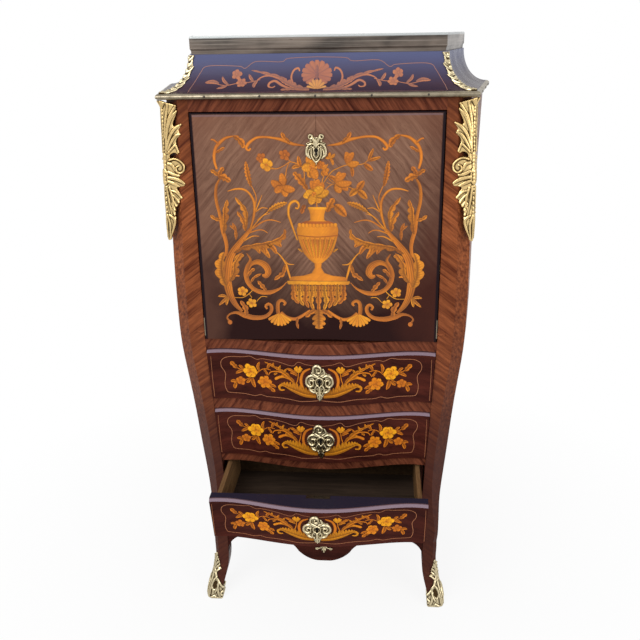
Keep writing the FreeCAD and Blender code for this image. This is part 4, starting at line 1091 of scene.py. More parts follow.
def draw_fall_frame(art):
    """Scrolling acanthus frame of the fall, from its lower edge up."""
    stem, leaf = art.stem, art.leaf
    stem([(-24, 440), (-48, 443), (-69, 451), (-88, 455), (-105, 457), (-123, 456), (-136, 449),
          (-144, 441), (-147, 434), (-142, 430), (-138, 434)], (1.5, 7, 8, 5, 5, 5, 6, 7, 6, 5, 4), 0.5)
    leaf([(-54, 445), (-65, 455), (-72, 467)], 10, 2, 0.45)
    leaf([(-174, 459), (-163, 453), (-154, 442), (-157, 435)], 14, 3, 0.45)
    stem([(-172, 459), (-190, 455), (-205, 444), (-213, 434), (-217, 420), (-217, 406), (-213, 390)],
         (3, 6, 8, 7, 7, 6, 5), 0.5)
    stem([(-206, 443), (-216, 451), (-222, 452)], (5, 4, 3), 0.6)
    leaf([(-213, 424), (-204, 430), (-193, 436)], 7, 2, 0.5)
    leaf([(-212, 374), (-200, 373), (-185, 364)], 17, 3, 0.4)
    leaf([(-211, 376), (-218, 383), (-227, 388)], 10, 2, 0.45)
    leaf([(-209, 377), (-205, 386), (-198, 394)], 11, 2, 0.45)
    stem([(-209, 368), (-216, 355), (-219, 337), (-218, 317), (-214, 298), (-211, 280), (-209, 258),
          (-204, 238), (-202, 220), (-205, 198)], (4, 6, 7, 7, 7, 8, 9, 9, 8, 6), 0.45)
    leaf([(-208, 250), (-204, 282), (-202, 304), (-195, 325)], 22, 4, 0.45, sides=(0.35, 1))
    leaf([(-212, 280), (-224, 283), (-234, 291)], 9, 2, 0.45)
    stem([(-175, 69), (-190, 86), (-200, 107), (-204, 126), (-206, 146), (-203, 168), (-198, 191),
          (-187, 211), (-173, 229), (-158, 247), (-143, 265)],
         (6, 12, 16, 19, 21, 20, 18, 15, 12, 9, 6), 0.5)
    leaf([(-208, 128), (-216, 154), (-216, 182), (-208, 208)], 32, 4, 0.3, sides=(1, 0.5))
    leaf([(-201, 140), (-189, 162), (-186, 182), (-168, 208)], 24, 4, 0.3, sides=(0.4, 1))
    leaf([(-186, 188), (-176, 200), (-164, 200)], 11, 2, 0.25)
    stem([(-204, 130), (-196, 148), (-186, 154), (-177, 153)], (6, 7, 6, 3), 0.45)
    stem([(-148, 258), (-138, 290), (-136, 318), (-144, 337), (-157, 347), (-175, 348), (-193, 343)],
         (4, 6, 6, 5, 5, 4, 1.5), 0.4)
    stem([(-137, 296), (-131, 328), (-135, 344), (-141, 357)], (2, 2.4, 2.2, 1.8), 0.3)
    art.ear([(-141, 354), (-147, 380), (-150, 407)], 13, 0.4)
    stem([(-146, 260), (-123, 286), (-104, 302)], (3, 2.6, 2), 0.3)
    art.ear([(-107, 300), (-86, 313), (-64, 320)], 13, 0.35)
    leaf([(-157, 256), (-153, 290), (-159, 309), (-177, 331)], 19, 4, 0.35, sides=(1, 0.35))
    leaf([(-158, 256), (-161, 280), (-174, 300)], 15, 3, 0.4, sides=(1, 0.4))
    stem([(-142, 262), (-118, 278), (-100, 282), (-79, 277)], (4, 3.5, 3, 1.2), 0.35)
    stem([(-135, 298), (-127, 315), (-118, 336)], (3, 3, 1.2), 0.35)
    stem([(-135, 298), (-120, 308), (-107, 307)], (2.6, 2.6, 1.2), 0.35)
    stem([(-131, 280), (-118, 291), (-103, 296)], (3, 2.6, 1.2), 0.35)
    leaf([(-180, 236), (-180, 257), (-186, 275)], 8, 2, 0.5)
    leaf([(-181, 258), (-186, 264), (-193, 268)], 5, 1, 0.5)
    stem([(-163, 234), (-143, 245), (-128, 245)], (4, 3, 1.2), 0.35)
    stem([(-151, 252), (-131, 259), (-119, 259), (-109, 253)], (4, 3, 2.6, 1.2), 0.35)
    leaf([(-187, 207), (-167, 219), (-140, 225), (-112, 230), (-87, 239), (-74, 250), (-72, 263)], 24,
         7, 0.4, sides=(0.3, 1))
    for heart, tip, wide in (
            ((-136, 225), (-106, 196), 12), ((-126, 227), (-114, 204), 9),
            ((-112, 228), (-91, 206), 11), ((-100, 231), (-80, 222), 10),
            ((-146, 222), (-128, 206), 9)):
        leaf([heart, ((heart[0] + tip[0]) / 2 + 3, (heart[1] + tip[1]) / 2 + 3), tip], wide, 1, 0.45)
    stem([(-104, 222), (-83, 203), (-71, 184), (-66, 166), (-61, 147)], (2, 3, 4.4, 5, 4), 0.3)
    stem([(-74, 192), (-66, 184), (-53, 183)], (4, 3, 1.2), 0.3)
    leaf([(-72, 184), (-77, 164), (-86, 156), (-99, 146)], 12, 3, 0.35)
    stem([(-158, 206), (-150, 192), (-158, 175), (-162, 158), (-158, 139), (-146, 124), (-129, 117),
          (-109, 117), (-91, 124), (-80, 132), (-71, 142)], (2, 6, 9, 11, 11, 10, 11, 10, 6, 3, 1.5),
         0.5)
    stem([(-158, 164), (-149, 181), (-133, 187), (-117, 179), (-111, 165), (-117, 155), (-125, 157)],
         (4, 8, 12, 16, 15, 11, 5), 0.5)
    leaf([(-160, 151), (-150, 165), (-141, 171)], 9, 2, 0.4)
    leaf([(-117, 119), (-125, 130), (-136, 143)], 11, 3, 0.4)
    leaf([(-152, 138), (-143, 151), (-126, 160)], 7, 2, 0.55)
    art.flower((-172, 118), 12, 5, 10, 0.2)
    art.flower((-152, 90), 11, 5, 40, 0.12)
    stem([(-190, 102), (-171, 103), (-156, 113), (-148, 122)], (1.6, 2, 2, 1.4), 0.1)
    stem([(-141, 94), (-129, 106), (-116, 106)], (1.6, 1.8, 1.2), 0.1)
    stem([(-157, 112), (-151, 103)], (1.6, 1.4), 0.1)
    stem([(-206, 45), (-211, 53), (-204, 62), (-188, 66), (-170, 60), (-148, 55), (-124, 58),
          (-110, 69), (-107, 82), (-113, 89), (-120, 84), (-117, 77)],
         (5, 4, 4, 7, 13, 12, 9, 8, 8, 7, 6, 5), 0.55)
    art.disc((-205, 42), 5.5, 0.75)
    leaf([(-166, 60), (-167, 77), (-178, 95)], 14, 3, 0.55)
    art.fan((-89, 68), 31, 205, 335, 8, 0.25)
    stem([(-92, 66), (-93, 80), (-91, 94), (-83, 99), (-75, 93), (-79, 87)], (9, 9, 8, 7, 6, 4), 0.45)
    stem([(-86, 70), (-73, 59), (-55, 55), (-38, 63), (-20, 77)], (8, 8, 8, 7, 4), 0.45)
    leaf([(-48, 58), (-50, 46), (-47, 31)], 7, 2, 0.45)
    for tip, middle in (((-229, 104), (-218, 106)), ((-228, 83), (-217, 93)), ((-211, 83), (-209, 93))):
        leaf([(-207, 103), middle, tip], 7, 1, 0.25)


def draw_urn(art):
    """Two-tiered stand, fluted urn and its bouquet, in the middle of the fall."""
    art.turned([(146, 64), (151, 63), (155, 58), (158, 32), (164, 14), (176, 7), (188, 8)], 0.3)
    art.turned([(137, 66), (140, 69), (145, 69)], 0.12)
    art.turned([(187, 9), (196, 20), (208, 30), (222, 36), (238, 41), (252, 44), (262, 45), (268, 43),
                (273, 42)], 0.25)
    art.turned([(271, 42), (276, 36), (281, 24)], 0.95, 1)
    art.turned([(280, 20), (283, 15), (294, 15), (306, 18)], 0.25)
    art.turned([(306, 19), (309, 20), (311, 19)], 0.1)
    for k in range(-5, 6):
        art.disc((k * 7.7, 270.5 + 0.06 * k * k), 4.4, 0.3, 4, False)
    for k in range(-3, 4):
        art.stem([(k * 11.0, 240), (k * 9.0, 222), (k * 5.0, 198)], (6, 5, 2), 0.55, False, 4)
        art.leaf([(k * 11.0 + 5.4, 246), (k * 9.0 + 4.4, 222), (k * 5.0 + 2, 200)], 3, 1, 0.05, False,
                 level=5)
    art.stem([(-45, 249), (0, 245.5), (45, 249)], (1.8, 1.8, 1.8), 0.9, False, 5)
    art.leaf([(-33, 211), (-38, 216), (-44, 219)], 4, 1, 0.2)
    for k in range(-4, 5):
        splay = 5.0 * (k > 0) - 5.0 * (k < 0)
        art.leaf([(14.2 * k, 139), (14.0 * k, 118), (12.4 * k + splay, 97 + 2 * abs(k)),
                  (11.0 * k, 72 + 5 * abs(k))], 14, 4, 0.2 if k % 2 else 0.45, False)
    for k in (-3.5, -2.5, -1.5, -0.5, 0.5, 1.5, 2.5, 3.5):
        art.leaf([(14.2 * k, 139), (14.2 * k, 124), (13.4 * k, 104 + 2 * abs(k))], 6, 2, 0.3, False,
                 level=2)
    art.leaf([(0, 80), (0, 54), (0, 32)], 32, 4, 0.4, False)
    art.leaf([(-6, 78), (-20, 70), (-30, 60)], 12, 2, 0.5)
    art.stem([(-44, 238), (-50, 255), (-57, 277), (-62, 296), (-59, 316), (-47, 324), (-39, 317),
              (-41, 308), (-47, 309)], (3, 4, 5, 5.4, 6, 6, 5, 4, 3), 0.3, False)
    for points, width in (
            ([(0, 310), (-3, 340), (-6, 380)], 3), ([(2, 320), (10, 360), (24, 402)], 2.4),
            ([(-4, 318), (-24, 350), (-28, 392), (-52, 406), (-67, 399), (-83, 392), (-98, 392)], 2.2),
            ([(-58, 404), (-64, 387), (-66, 366)], 2.2), ([(-88, 392), (-102, 397), (-116, 413)], 1.8),
            ([(-52, 406), (-60, 412), (-64, 419)], 1.8),
            ([(14, 362), (31, 385), (45, 393), (61, 399), (76, 400), (96, 401), (108, 409)], 2.2),
            ([(10, 335), (22, 352), (34, 360)], 2), ([(66, 354), (76, 350), (86, 347)], 1.8),
            ([(38, 362), (30, 366), (24, 373)], 1.2), ([(38, 360), (28, 360), (21, 364)], 1.2)):
        art.stem(points, [width, width, width * 0.7], 0.3, False)
    for points, width, lobes, tone in (
            ([(86, 347), (78, 343), (69, 334)], 14, 1, 0.35),
            ([(86, 347), (92, 356), (100, 366)], 14, 1, 0.35),
            ([(87, 346), (96, 338), (106, 327)], 14, 1, 0.3),
            ([(108, 407), (113, 420), (119, 433)], 7, 1, 0.3),
            ([(108, 407), (120, 411), (134, 415)], 7, 1, 0.3),
            ([(100, 401), (109, 394), (118, 387)], 11, 1, 0.4),
            ([(72, 396), (75, 386), (75, 374)], 8, 1, 0.4),
            ([(38, 315), (49, 305), (62, 290)], 19, 1, 0.5),
            ([(-20, 348), (-35, 370), (-49, 385)], 17, 4, 0.5),
            ([(-33, 396), (-36, 406), (-38, 419)], 9, 1, 0.45),
            ([(-36, 396), (-44, 397), (-52, 392)], 8, 1, 0.45),
            ([(20, 300), (27, 314), (36, 330)], 18, 3, 0.6),
            ([(-26, 316), (-30, 308), (-34, 296)], 11, 2, 0.85),
            ([(26, 376), (36, 372), (40, 364)], 9, 1, 0.4)):
        art.leaf(points, width, lobes, tone, False)
    art.lily((-73, 354), ((-75, 383), (-97, 367), (-89, 341), (-67, 332), (-46, 348)), 17, 0.5)
    art.lily((41, 361), ((48, 386), (62, 382), (74, 363), (66, 346), (51, 341)), 16, 0.4)
    art.lily((65, 401), ((62, 427), (78, 425), (89, 404)), 15, 0.35)
    art.lily((29, 414), ((19, 414), (29, 426), (39, 423), (35, 399)), 7, 0.35)
    art.lily((-8, 394), ((-20, 418), (-6, 412), (-31, 392), (-18, 375), (1, 371)), 20, 0.32, 4)
    art.lily((14, 389), ((27, 391), (22, 400), (24, 379), (12, 377)), 11, 0.4, 6)
    art.lily((-2, 344), ((-13, 367), (5, 370), (14, 363)), 18, 0.5, 3)
    art.lily((-4, 338), ((-29, 333), (-22, 346), (-13, 316), (4, 319), (26, 345), (14, 352)), 19, 0.1,
             5)
    for centre, radius, petals, turn, tone in (
            ((-106, 400), 14, 4, 20, 0.15),
            ((-117, 414), 11, 5, 50, 0.8),
            ((-66, 421), 12, 5, 10, 0.85),
            ((8, 400), 10, 5, 30, 0.7)):
        art.flower(centre, radius, petals, turn, tone, False)
    art.rose((-6, 338), 13, 40, 0.2, False)
    art.rose((-10, 394), 11, 10, 0.35, False)


def draw_drawer(art):
    """Cornucopia leaves and flower sprays inside a cusped string, from the drawer's lower edge up."""
    stem, leaf = art.stem, art.leaf
    string = [(0, 104), (-35, 108), (-56, 113), (-66, 104), (-77, 103), (-105, 110), (-140, 113),
              (-155, 110), (-171, 116), (-189, 113), (-223, 111), (-237, 105), (-242, 96), (-241, 84),
              (-233, 67), (-236, 40), (-233, 22), (-225, 16), (-189, 15), (-165, 12.5), (-149, 17),
              (-133, 14), (-98, 15), (-74, 13), (-50, 10.5), (0, 15)]
    stem(string, (1.4, 1.4), 1.6)
    stem([(-256, 113), (-256, 60), (-255, 5)], (1.0, 1.0), 1.6)
    leaf([(-8, 28), (-40, 31), (-74, 42), (-99, 52)], 40, 12, 0.24, sides=(0.1, 1))
    stem([(-10, 25), (-44, 28), (-70, 38), (-92, 50), (-103, 45), (-100, 37), (-91, 38)],
         (8, 9, 8, 7, 6, 5, 3), 0.26)
    leaf([(-58, 48), (-82, 76), (-108, 92), (-137, 106)], 11, 7, 0.4, sides=(0.5, 1))
    stem([(-68, 58), (-96, 82), (-120, 82), (-128, 72)], (3, 3.4, 3, 1.4), 0.45)
    stem([(-60, 46), (-76, 66), (-94, 72), (-109, 66), (-111, 62)], (3, 5, 6.5, 7.5, 5), 0.4)
    for heart, tip in (((-88, 80), (-84, 94)), ((-100, 87), (-98, 101)), ((-114, 94), (-114, 106)),
                       ((-84, 70), (-96, 78)), ((-106, 81), (-114, 74))):
        leaf([heart, ((heart[0] + tip[0]) / 2 - 2, (heart[1] + tip[1]) / 2), tip], 5, 1, 0.35)
    stem([(-24, 98), (-42, 89), (-50, 72), (-49, 54), (-42, 38)], (4, 7, 8, 8, 6), 0.6)
    stem([(-56, 86), (-58, 70), (-62, 56)], (2, 2, 2), 0.4)
    leaf([(-60, 84), (-70, 90), (-84, 95)], 8, 2, 0.45)
    leaf([(-59, 78), (-68, 84), (-76, 84)], 7, 1, 0.4)
    art.lily((-56, 86), ((-66, 98), (-60, 103), (-52, 103), (-46, 98)), 9, 0.15, 3, True)
    stem([(-160, 68), (-148, 82), (-136, 88), (-122, 86)], (1.6, 2, 2, 1.6), 0.5)
    leaf([(-150, 80), (-153, 92), (-148, 104)], 7, 1, 0.45)
    leaf([(-140, 87), (-134, 80), (-130, 72)], 7, 2, 0.45)
    leaf([(-130, 88), (-126, 98), (-120, 103)], 7, 1, 0.5)
    stem([(-168, 74), (-190, 78), (-206, 84)], (1.6, 1.8, 1.6), 0.5)
    leaf([(-204, 82), (-211, 90), (-219, 99)], 13, 2, 0.6)
    leaf([(-190, 77), (-199, 74), (-208, 68)], 8, 1, 0.5)
    leaf([(-188, 79), (-194, 87), (-200, 90)], 7, 1, 0.5)
    stem([(-165, 66), (-182, 55), (-200, 48), (-214, 42)], (1.6, 1.8, 1.8, 1.4), 0.5)
    leaf([(-206, 46), (-214, 48), (-222, 46)], 8, 1, 0.5)
    leaf([(-208, 43), (-212, 35), (-213, 27)], 9, 1, 0.5)
    leaf([(-168, 60), (-167, 48), (-162, 35)], 10, 1, 0.45)
    leaf([(-172, 58), (-178, 50), (-184, 46)], 7, 1, 0.45)
    leaf([(-132, 42), (-123, 37), (-114, 29)], 11, 2, 0.5)
    leaf([(-130, 48), (-119, 46), (-111, 42)], 8, 1, 0.5)
    art.flower((-197, 50), 12, 5, 20, 0.65)
    art.rose((-138, 53), 16, 10, 0.35)
    art.rose((-171, 77), 19, 0, 0.02)


def draw_cove(art):
    """Shell between leafy scrolls; heights run up round the hollow from the moulding."""
    stem, leaf = art.stem, art.leaf
    stem([(0, 97), (-58, 95), (-75, 89), (-127, 90), (-150, 78), (-165, 82), (-228, 83), (-245, 70),
          (-262, 36), (-266, 12)], (1.2, 1.2), 1.6)
    stem([(0, 9), (-60, 12), (-80, 9), (-262, 9)], (1.2, 1.2), 1.6)
    stem([(-14, 20), (-40, 22), (-68, 36), (-86, 50), (-98, 45), (-99, 35), (-91, 32), (-86, 37)],
         (5, 6, 7, 6, 5, 4.4, 4, 2.4), 0.55)
    leaf([(-14, 23), (-42, 30), (-64, 44), (-78, 54)], 27, 6, 0.4, sides=(0.25, 1))
    leaf([(-40, 24), (-58, 25), (-74, 22)], 12, 3, 0.35)
    stem([(-44, 32), (-53, 56), (-49, 72), (-39, 77), (-36, 71)], (4, 4.4, 4, 4, 2.5), 0.5)
    leaf([(-50, 38), (-72, 56), (-104, 66), (-138, 74)], 9, 5, 0.45, sides=(0.5, 1))
    stem([(-64, 48), (-96, 62), (-118, 58), (-130, 44)], (4, 4, 3, 1.6), 0.5)
    stem([(-118, 54), (-140, 48), (-164, 46), (-190, 40), (-214, 46)], (1.8, 2, 2, 2, 1.6), 0.5)
    for points, width in (
            ([(-124, 52), (-130, 42), (-130, 32)], 9),
            ([(-132, 50), (-138, 58), (-142, 66)], 8),
            ([(-186, 42), (-196, 34), (-208, 30)], 9),
            ([(-184, 42), (-194, 52), (-198, 62)], 8),
            ([(-204, 45), (-218, 50), (-234, 48)], 12)):
        leaf(points, width * 0.8, 1, 0.5)
    art.flower((-168, 66), 11, 5, 10, 0.6)
    art.flower((-157, 46), 12, 6, 0, 0.5)
    art.fan((0, 64), 32, -62, 242, 13, 0.8, False, 0.86)
    art.fan((0, 24), 21, 8, 172, 7, 0.1, False, 1.5, 4)
    art.leaf([(0, 52), (0, 68), (0, 84)], 8, 1, 0.95, False, level=6, edge=0.7)
    for turn in (28, 62, 118, 152):
        way = Vector((math.cos(math.radians(turn)), math.sin(math.radians(turn)) * 0.86))
        art.stem([(5 * way.x, 64 + 5 * way.y), (21 * way.x, 64 + 21 * way.y)], (2.6, 0.8), 0.95, False,
                 7)


def draw_corner(cast):
    """Acanthus corner mount from its crest down; across runs from the corner over the post's front."""
    stroke = cast.stroke
    cast.fill([(-4, -2), (8, 0), (20, -3), (33, -7), (36, -11), (34, -18), (38, -20), (34, -28),
               (30, -36), (26, -46), (28, -51), (37, -46), (45, -45), (44, -51), (38, -59), (42, -65),
               (42, -70), (35, -75), (32, -81), (32, -89), (35, -97), (38, -105), (34, -110),
               (28, -106), (22, -107), (16, -110), (15, -119), (18, -122), (24, -120), (34, -120),
               (44, -125), (50, -135), (49, -143), (44, -149), (37, -152), (35, -158), (38, -162),
               (48, -168), (48, -175), (41, -178), (33, -176), (29, -182), (32, -186), (36, -192),
               (41, -200), (40, -205), (34, -206), (31, -214), (25, -220), (23, -226), (24, -232),
               (20, -240), (24, -244), (23, -251), (18, -267), (10, -279), (10, -291), (5, -296),
               (-4, -294)], 3.0, 5.0)
    for points, widths in (
            ([(7, -106), (10, -70), (18, -36), (34, -9)], (7, 8, 9, 5)),
            ([(5, -74), (9, -40), (17, -5)], (6, 8, 6)), ([(9, -72), (20, -38), (36, -20)], (6, 8, 5)),
            ([(9, -98), (18, -72), (30, -56), (44, -47)], (6, 8, 8, 5)),
            ([(12, -100), (22, -82), (32, -70), (42, -67)], (6, 7, 7, 4)),
            ([(12, -106), (22, -96), (30, -90), (33, -96), (37, -104)], (6, 6, 6, 5, 5))):
        stroke(points, widths, 5.6, True, 1.6)
    stroke([(0, -8), (0, -60), (0, -112)], (10, 9, 8), 5.0, False, 0, 15)
    stroke([(6, -3), (0, -12)], (12, 10), 6.5)
    for ball in ((36.5, -104), (44, -47), (34, -9)):
        cast.bump(ball, 3.6, 6.2)
    stroke([(0, -112), (0, -138)], (16, 14), 5.4, False, 0, 4)
    stroke([(14, -121), (26, -118), (38, -122), (47, -132), (46, -143), (38, -148), (30, -144),
            (30, -136), (35, -133)], (6, 6, 6, 7, 7, 6, 6, 5, 4), 7.0)
    stroke([(10, -128), (20, -131), (26, -142)], (7, 8, 6), 5.4, True, 1.0)
    stroke([(10, -146), (24, -152), (36, -154)], (8, 8, 5), 5.2, True, 1.2)
    stroke([(8, -158), (24, -160), (38, -165), (47, -171)], (9, 9, 9, 6), 6.0, True, 1.6)
    stroke([(8, -166), (22, -171), (34, -177)], (8, 8, 5), 5.2, True, 1.2)
    cast.ring((0, -157), 8.5, 3.6, 6.4, False, 2.0)
    for height in (-147, -154, -161, -168):
        cast.bump((0, height), 8.0, 7.4, False)
    stroke([(4, -178), (8, -208), (14, -238)], (7, 7, 5), 5.4)
    stroke([(11, -180), (18, -204), (20, -236)], (7, 7, 5), 5.2)
    for k, tip in enumerate(((39, -201), (32, -211), (26, -219), (22, -228), (21, -238))):
        stroke([(16, -186 - 9 * k), (tip[0] * 0.7, -190 - 9 * k), tip], (5, 6, 7), 5.4 - 0.2 * k)
        cast.bump(tip, 3.8, 6.0)
    stroke([(0, -178), (0, -240)], (8, 7), 5.8, False, 0, 7)
    stroke([(8, -240), (20, -250), (17, -267), (8, -289)], (7, 8, 7, 3), 5.4, True, 1.2)
    stroke([(2, -240), (8, -262), (5, -291)], (6, 7, 3), 5.6, True, 1.0)
    stroke([(0, -242), (0, -295)], (6, 3), 6.0, False)


def draw_drawer_plate(cast):
    """Rococo keyhole plate: curled crest, scrolled ears with deep eyes, lower scrolls and leaf drop."""
    stroke = cast.stroke
    cast.fill([(-14, 30), (-9, 35), (-1, 36), (5, 31), (9, 25), (14, 23), (17, 17), (24, 16), (31, 9),
               (32, -2), (29, -9), (24, -14), (20, -20), (14, -23), (9, -29), (6, -37), (1, -40),
               (-4, -36), (-6, -28), (-13, -22), (-20, -19), (-24, -13), (-29, -8), (-32, 0), (-30, 9),
               (-23, 14), (-19, 18), (-18, 25)], 2.4, 4.0, False)
    stroke([(-14, 20), (-13, 29), (-5, 33), (3, 28), (2, 20), (-5, 19), (-5, 25)],
           (6, 7, 7, 6, 5, 5, 4), 6.6, False)
    stroke([(4, 12), (12, 17), (9, 26)], (5, 6, 5), 5.8, False, 1.2)
    stroke([(8, 10), (18, 13), (28, 8), (30, -3), (23, -10), (15, -7), (15, 2), (21, 3)],
           (5, 6, 7, 7, 6, 5, 4, 4), 6.6)
    stroke([(-4, 10), (-12, 14), (-17, 19)], (6, 7, 5), 5.6, False, 1.2)
    cast.ring((0, 0), 8.5, 4.4, 6.0)
    stroke([(24, -10), (20, -18), (12, -21), (10, -14)], (5, 6, 6, 4), 6.2)
    stroke([(7, -8), (11, -16), (6, -25)], (5, 5, 4), 5.8)
    stroke([(0, -10), (0, -26), (0, -39)], (7, 8, 3), 6.2, False, 1.2)
    stroke([(0, -24), (5, -29), (3, -36)], (4, 5, 3), 4.6)
    for centre, wide, tall in (
            ((18.5, -2), 3.2, 4.4), ((16, -13), 3.4, 2.8), ((11.5, 6), 2.2, 2.6),
            ((6.5, -19), 1.6, 2.8)):
        cast.pit(centre, wide, tall)
    cast.pierce(4.2, 9.0, 4.0)


def draw_fall_plate(cast):
    """Keyhole plate of the fall: curled crest, leafy cheeks and a shield round the keyhole."""
    stroke = cast.stroke
    cast.fill([(-16, 33), (-8, 31), (0, 26), (8, 31), (16, 33), (16, 24), (12, 18), (20, 15), (21, 4),
               (22, -8), (16, -16), (8, -20), (0, -29), (-8, -20), (-16, -16), (-22, -8), (-21, 4),
               (-20, 15), (-12, 18), (-16, 24)], 2.2, 3.5, False)
    stroke([(-10, 5), (-10, -10), (-5, -20), (0, -24), (5, -20), (10, -10), (10, 5)],
           (4, 5, 5, 5, 5, 5, 4), 5.6, False)
    stroke([(-5.5, 3), (-5.5, -9), (0, -15), (5.5, -9), (5.5, 3)], (2.6, 2.6, 2.6), 4.2, False)
    stroke([(12, 14), (19, 5), (20, -8), (15, -14)], (5, 6, 6, 4), 5.6, True, 1.0)
    stroke([(14, 2), (16, -8), (12, -17)], (4, 5, 4), 4.6)
    stroke([(0, 7), (7, 14), (14, 12), (20, 14)], (5, 5, 5, 3), 5.8)
    stroke([(1, 10), (5, 22), (11, 29)], (6, 7, 7), 6.0, True, 1.2)
    stroke([(0, 10), (0, 22)], (5, 4), 6.2, False)
    cast.ring((11, 28), 4.4, 3.6, 6.2, True)
    stroke([(0, -23), (0, -29)], (6, 3), 5.4, False)
    cast.pit((11, 28), 2.0, 2.0)
    cast.pit((7.5, 9), 1.6, 2.4)
    cast.pierce(3.6, 11.0, 3.8)


def draw_apron_mount(cast):
    """Leaf drop between two small sprays on the lobe of the apron."""
    cast.fill([(-6, 14), (0, 11), (6, 14), (8, 6), (6, -2), (3, -8), (0, -12), (-3, -8), (-6, -2),
               (-8, 6)], 2.4, 2.5, False)
    for points in ([(0, 8), (4, 12), (7, 12)], [(0, 4), (5, 5), (8, 3)], [(0, 0), (3, -2), (5, -6)]):
        cast.stroke(points, (4, 4, 3), 4.6)
    cast.stroke([(0, 11), (0, 0), (0, -13)], (5, 5, 3), 5.0, False, 1.0)
    cast.stroke([(10, 0), (15, 1.5), (21, 0)], (4, 5, 4), 4.0)
    cast.stroke([(13, 1), (16, -3), (19, -4)], (3, 3, 3), 3.8)
    cast.bump((20, -1), 3.4, 4.6)


def draw_sabot(cast):
    """Leafy shoe: across runs round the leg from its outer corner, up from the floor."""
    stroke = cast.stroke
    cast.fill([(-4, -6), (40, -6), (80, -6), (80, 20), (60, 22), (46, 27), (32, 38), (23, 46), (16, 54),
               (10, 62), (17, 70), (19, 77), (11, 77), (14, 86), (11, 91), (9, 98), (5, 103), (3, 112),
               (-4, 112)], 2.6, 4.0)
    stroke([(-72, 3), (0, 3), (72, 3)], (7, 7, 7), 4.0, False)
    stroke([(72, 18), (56, 18), (44, 24), (32, 34), (23, 44)], (6, 6, 6, 6, 5), 4.8)
    stroke([(32, 8), (27, 20), (22, 38), (12, 54), (4, 70)], (7, 7, 6, 6, 6), 5.4, True, 1.0)
    stroke([(5, 12), (6, 26), (7, 42), (12, 52)], (6, 6, 6, 5), 5.8)
    stroke([(12, 53), (21, 46), (25, 32), (20, 17)], (5, 6, 6, 6), 5.8)
    stroke([(0, 8), (0, 50), (0, 84), (0, 110)], (8, 8, 7, 4), 5.2, False, 1.0)
    for wide, up in ((20, 74), (14, 83), (12, 92), (7, 104)):
        stroke([(2, up - 14), (wide * 0.6, up - 5), (wide, up)], (5, 6, 4), 5.0, True, 0.8)
        cast.bump((wide, up), 2.8, 5.4)
    stroke([(40, 6), (34, 14), (40, 22), (48, 16), (44, 10)], (5, 5, 5, 4, 4), 5.0)
    stroke([(0, 4), (0, 18)], (14, 12), 5.6, False, 1.4)
    stroke([(9, 4), (18, 8), (22, 4)], (6, 6, 5), 5.0)
    cast.pit((15, 34), 6.5, 10.5)


def draw_cove_mount(cast):
    """Row of small leaves with beads, along the mitre of the cove from the moulding up."""
    cast.fill([(-3, 0), (14, 1), (16, 8), (11, 16), (13, 26), (9, 34), (12, 46), (8, 54), (10, 66),
               (7, 74), (9, 86), (6, 94), (7, 104), (-3, 108)], 2.2, 3.0)
    for k in range(9):
        up = 4 + 11.2 * k
        reach = (14 if k % 2 == 0 else 10) - 0.5 * k
        cast.stroke([(1, up), (reach * 0.6, up + 4), (reach, up + 11)], (5, 6, 4), 4.4, True, 0.9)
        cast.bump((0, up + 4), 3.4, 5.2, False)
    cast.stroke([(3, 2), (12, 4), (16, 9)], (6, 6, 4), 4.4)


# Operators


FINISHES = {
    "kingwood": ("front_left_post", "front_right_post", "fall_pivots"),
    "sides": ("rear_left_post", "rear_right_post", "left_side", "right_side"),
    "rail": ("fall_rail", "upper_drawer_rail", "lower_drawer_rail", "carcass_top", "frieze_rail"),
    "fall": ("fall_panel",),
    "cove": ("cove_front", "cove_sides"),
    "top": ("top_slab",),
    "drawer": (*(d + "_front" for d in DRAWERS), "apron"),
    "drawer oak": tuple(d + "_box" for d in DRAWERS),
    "lining": tuple(d + "_bottom" for d in DRAWERS),
    "oak": ("dust_boards", "drawer_guides"),
    "boards": ("back_panel", "cornice_back"),
    "interior": ("writing_bed", "pigeonhole_case", "pigeonhole_dividers", "small_drawer_left",
                 "small_drawer_right"),
    "brass": ("small_knob_left", "small_knob_right", "quadrant_stays", "stay_guides"),
    "moulding": ("brass_moulding", "pivot_plates"),
    "band": ("top_band",),
    "iron": tuple(front + part for front in ("fall", *DRAWERS) for part in ("_lock", "_bolt")),
    "leather": ("writing_leather",),
}


class ESCRITOIRE_OT_finishes(bpy.types.Operator):
    """Give every solid its veneer, oak, metal or leather."""

    bl_idname = "escritoire.finishes"
    bl_label = "Finish the solids"

    def execute(self, context):
        for finish_name, names in FINISHES.items():
            for name in names:
                mesh = NODES[name].data
                mesh.materials.clear()
                mesh.materials.append(material(finish_name))
        return {"FINISHED"}


class ESCRITOIRE_OT_fall_marquetry(bpy.types.Operator):
    """Lay the urn, bouquet and scrolling frame in the fall front."""

    bl_idname = "escritoire.fall_marquetry"
    bl_label = "Fall marquetry"

    def execute(self, context):
        art = Inlay(11)
        draw_fall_frame(art)
        draw_urn(art)
        place = Panel("fall_panel").from_front(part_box("fall_panel")[0].z)
        art.lay("fall_marquetry", place, "fall_front", material("fall inlay"))
        return {"FINISHED"}


